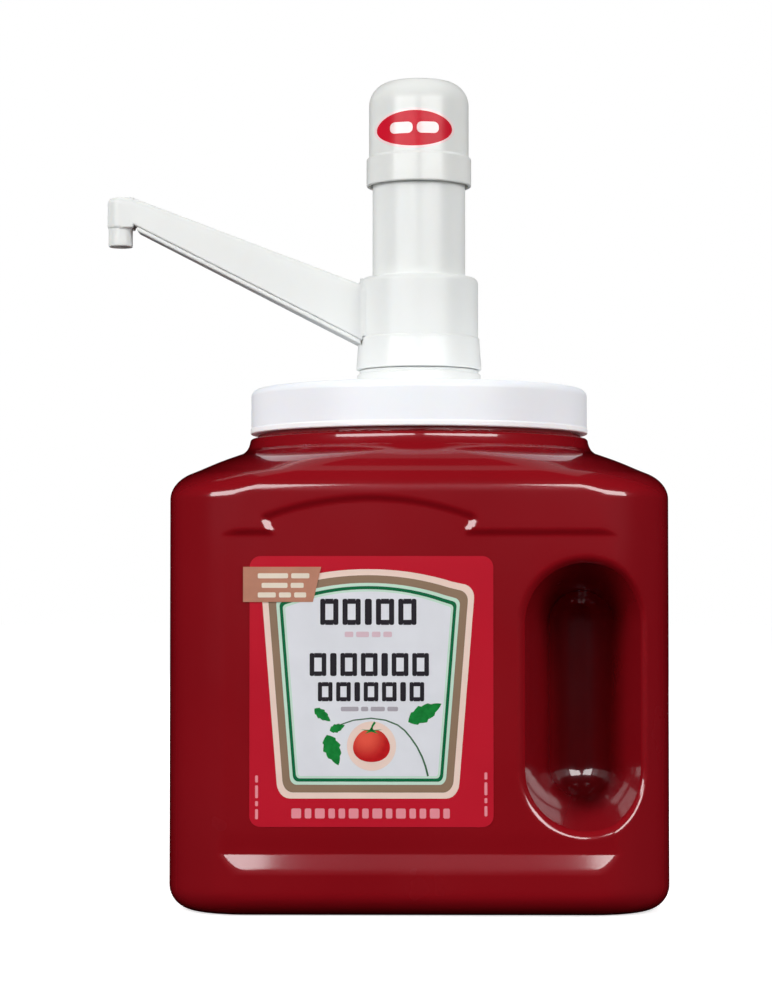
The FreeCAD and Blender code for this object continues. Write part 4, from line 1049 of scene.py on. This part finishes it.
def wrap(name, outlines, rad, mat, replaces=(), inner=16.98, cell=0.9):
    """Outlines in front view, laid round the knob: a curved film."""
    bm = bmesh.new()
    for outline in outlines:
        vs = [bm.verts.new((x, 0.0, z)) for x, z in outline]
        face = bm.faces.new(vs)
    bmesh.ops.triangulate(bm, faces=bm.faces)
    for cut in np.arange(-16.5, 16.5, cell):
        bmesh.ops.bisect_plane(bm, geom=bm.verts[:] + bm.edges[:] + bm.faces[:],
                               plane_co=(cut, 0, 0), plane_no=(1, 0, 0))
    bm.verts.ensure_lookup_table()
    flat = [(v.co.x, v.co.z) for v in bm.verts]
    tris = [[v.index for v in f.verts] for f in bm.faces]
    border = [(e.verts[0].index, e.verts[1].index) for e in bm.edges
              if len(e.link_faces) == 1]
    bm.free()
    n = len(flat)
    verts, normals = [], []
    for r, s in ((rad, 1.0), (inner, -1.0)):
        for x, z in flat:
            y = -math.sqrt(max(r * r - x * x, 0))
            verts.append((x, y, z))
            normals.append((x / r * s, y / r * s, 0.0))
    faces = []
    for t in tris:
        a, b, c = (np.array(verts[i]) for i in t[:3])
        up = np.cross(b - a, c - a) @ np.array([0, -1.0, 0])
        t = t if up > 0 else t[::-1]
        faces.append(t)
        faces.append([i + n for i in t][::-1])
    for a, b in border:
        faces.append([a, b, b + n, a + n])
    o = make(name, verts, faces, mat, "plunger", normals,
             replaces)
    bm = bmesh.new()
    bm.from_mesh(o.data)
    bmesh.ops.recalc_face_normals(bm, faces=bm.faces)
    bm.to_mesh(o.data)
    bm.free()
    o.data.normals_split_custom_set_from_vertices(normals)
    return o


def badge():
    cx, cz = -1.5, 257.1
    wrap("badge_rim", [disc(cx, cz, 13.5, 6.8, 72)], 17.06, FILM_BADGE_RIM,
         ("knob_badge",))
    wrap("badge_red", [disc(cx, cz, 12.7, 6.0, 72)], 17.09, FILM_BADGE)
    lines = [rounded_box(cx - 8.2, cx - 0.6, cz - 1.7, cz + 2.1, 1.6, 5),
             rounded_box(cx + 0.8, cx + 8.2, cz - 1.7, cz + 2.1, 1.6, 5)]
    wrap("badge_print", lines, 17.12, FILM_BADGE_RIM)


badge()

# ------------------------------------------------- finish of the other nodes
FINISH = {
    "ketchup_fill": KETCHUP, "lid_liner": BOARD, "pump_gasket": RUBBER,
    "outlet_seat": BARREL_PLASTIC, "gland_ring": BARREL_PLASTIC,
    "wiper_seal": RUBBER, "barrel": BARREL_PLASTIC, "barrel_seal": RUBBER,
    "lock_nut": BARREL_PLASTIC, "dip_tube": TUBE_PLASTIC,
    "valve_cage": BARREL_PLASTIC, "plunger_plug": BARREL_PLASTIC,
    "plug_oring": RUBBER, "inlet_ball": STEEL, "outlet_ball": STEEL,
    "jug_shell": JUG_RED, "front_label": FILM_RED, "back_label": FILM_RED,
    "corner_flag": FILM_FLAG, "lid": LID_WHITE, "swivel_ring": PUMP_WHITE,
    "pump_body": PUMP_WHITE, "spout_arm": PUMP_WHITE,
    "spout_cover": PUMP_WHITE, "return_spring": STEEL, "knob": KNOB_WHITE,
    "knob_badge": FILM_BADGE, "plunger_sleeve": PUMP_WHITE,
}
for node_name, node in NODES.items():
    if not node.material_slots:
        node.data.materials.append(FINISH[node_name])
    for entry in node.material_slots:
        entry.material = FINISH[node_name]

# ------------------------------------------------------------------ the stage
scene = bpy.context.scene
scene.view_settings.view_transform = "Standard"
scene.view_settings.look = "None"
scene.view_settings.exposure = 0.0
scene.view_settings.gamma = 1.0


def stage_mesh(name, verts, faces, mat):
    me = bpy.data.meshes.new(name)
    me.from_pydata(verts, [], faces)
    me.materials.append(mat)
    o = bpy.data.objects.new(name, me)
    scene.collection.objects.link(o)
    return o


def glow_material(name, color, strength):
    m = bpy.data.materials.new(name)
    m.use_nodes = True
    nodes = m.node_tree.nodes
    nodes.clear()
    e = nodes.new("ShaderNodeEmission")
    e.inputs["Color"].default_value = (*color, 1.0)
    e.inputs["Strength"].default_value = strength
    out = nodes.new("ShaderNodeOutputMaterial")
    m.node_tree.links.new(e.outputs[0], out.inputs["Surface"])
    return m


floor_mat = material("floor_pale", (0.86, 0.86, 0.86, 1.0), rough=0.9,
                     vary=0.01, vary_size=0.5, specular=0.0, glow=0.72)
floor = stage_mesh("floor", [(-6, -6, 0), (6, -6, 0), (6, 6, 0), (-6, 6, 0)],
                   [(0, 1, 2, 3)], floor_mat)
floor.visible_glossy = False
floor.visible_diffuse = False

bm = bmesh.new()
bmesh.ops.create_icosphere(bm, subdivisions=4, radius=5.5)
dome_mesh = bpy.data.meshes.new("dome")
bm.to_mesh(dome_mesh)
bm.free()
dome_mesh.materials.append(glow_material("dome_white", (1.0, 1.0, 1.0), 1.0))
dome = bpy.data.objects.new("dome", dome_mesh)
scene.collection.objects.link(dome)
dome.visible_diffuse = False
dome.visible_glossy = False
dome.visible_transmission = False
dome.visible_shadow = False
dome.visible_volume_scatter = False

# soft surrounding light: stronger above and at the sides, weaker in front and darker
# below
world = bpy.data.worlds.new("studio")
scene.world = world
world.use_nodes = True
wn, wl = world.node_tree.nodes, world.node_tree.links
wn.clear()
w_out = wn.new("ShaderNodeOutputWorld")
w_bg = wn.new("ShaderNodeBackground")
w_co = wn.new("ShaderNodeTexCoord")
w_sep = wn.new("ShaderNodeSeparateXYZ")
wl.new(w_co.outputs["Generated"], w_sep.inputs[0])


def world_math(op, a, b=None):
    n = wn.new("ShaderNodeMath")
    n.operation = op
    for i, v in enumerate((a, b)):
        if v is None:
            continue
        if isinstance(v, (int, float)):
            n.inputs[i].default_value = v
        else:
            wl.new(v, n.inputs[i])
    return n.outputs[0]


side_part = world_math("POWER", world_math("ABSOLUTE", w_sep.outputs["X"]), 2.0)
up_part = world_math("MAXIMUM", w_sep.outputs["Z"], 0.0)
front_part = world_math("MAXIMUM", world_math("MULTIPLY", w_sep.outputs["Y"],
                                              -1.0), 0.0)
level = world_math("MULTIPLY", up_part, 0.31)
level = world_math("ADD", level, world_math("MULTIPLY", front_part, -0.10))
level = world_math("ADD", level, world_math("MULTIPLY", side_part, 0.55))
level = world_math("ADD", level, 0.13)
low_part = world_math("MAXIMUM", world_math("MULTIPLY", w_sep.outputs["Z"],
                                            -1.0), 0.0)
level = world_math("SUBTRACT", level, world_math("MULTIPLY", low_part, 0.30))
level = world_math("MAXIMUM", level, 0.03)
wl.new(level, w_bg.inputs["Strength"])
w_bg.inputs["Color"].default_value = (0.985, 0.99, 1.0, 1.0)
wl.new(w_bg.outputs[0], w_out.inputs["Surface"])
world.cycles_visibility.glossy = False
world.cycles_visibility.camera = True


def softbox(name, azimuth, elevation, distance, wide, high, radiance,
            color=(1.0, 1.0, 1.0), target=(0.0, 0.0, 0.12), part="gloss"):
    """An area light; azimuth 0 is in front (-Y), positive towards +X. One
    part makes the reflections, the other the soft shading."""
    a, e = math.radians(azimuth), math.radians(elevation)
    away = Vector((math.sin(a) * math.cos(e), -math.cos(a) * math.cos(e),
                   math.sin(e)))
    data = bpy.data.lights.new(name, "AREA")
    data.shape = "RECTANGLE"
    data.size, data.size_y = wide, high
    data.energy = radiance * math.pi * wide * high
    data.color = color
    o = bpy.data.objects.new(name, data)
    scene.collection.objects.link(o)
    o.location = Vector(target) + away * distance
    o.rotation_mode = "QUATERNION"
    o.rotation_quaternion = (-away).to_track_quat("-Z", "Y")
    o.visible_camera = False
    if part == "gloss":
        o.visible_diffuse = False
    else:
        o.visible_glossy = False
    return o


softbox("key_left", -31.0, 20, 1.35, 1.285, 0.48, 10.2)
softbox("fill_right", 29.65, 20, 1.35, 1.166, 0.46, 11.0, (1.0, 0.99, 0.97))
softbox("over", 180, 68, 1.1, 0.6, 0.95, 0.3)
softbox("soft_left", -51, 25, 1.6, 0.52, 0.9, 11.2, part="shade")
softbox("soft_right", 51, 25, 1.6, 0.52, 0.9, 9.2, part="shade")
softbox("soft_back", 168, 30, 1.8, 0.9, 0.9, 4.6, part="shade")

# ----------------------------------------------------------------- the camera
cam_data = bpy.data.cameras.new("camera")
cam = bpy.data.objects.new("camera", cam_data)
scene.collection.objects.link(cam)
scene.camera = cam
cam_data.sensor_fit = "AUTO"
cam_data.sensor_width = 36.0
FOCAL = 2646.0                      # in pixels of the 772 x 1000 frame
cam_data.lens = FOCAL * 36.0 / 1000.0
cam_data.clip_start, cam_data.clip_end = 0.02, 30.0
cam.location = (0.0, -0.900, 0.1053)
aim = Vector(((386.0 - 419.0) / FOCAL, 1.0, (580.6 - 500.0) / FOCAL))
cam.rotation_mode = "QUATERNION"
cam.rotation_quaternion = aim.normalized().to_track_quat("-Z", "Y")

# ------------------------------------------------------------------- the end
bpy.context.view_layer.update()
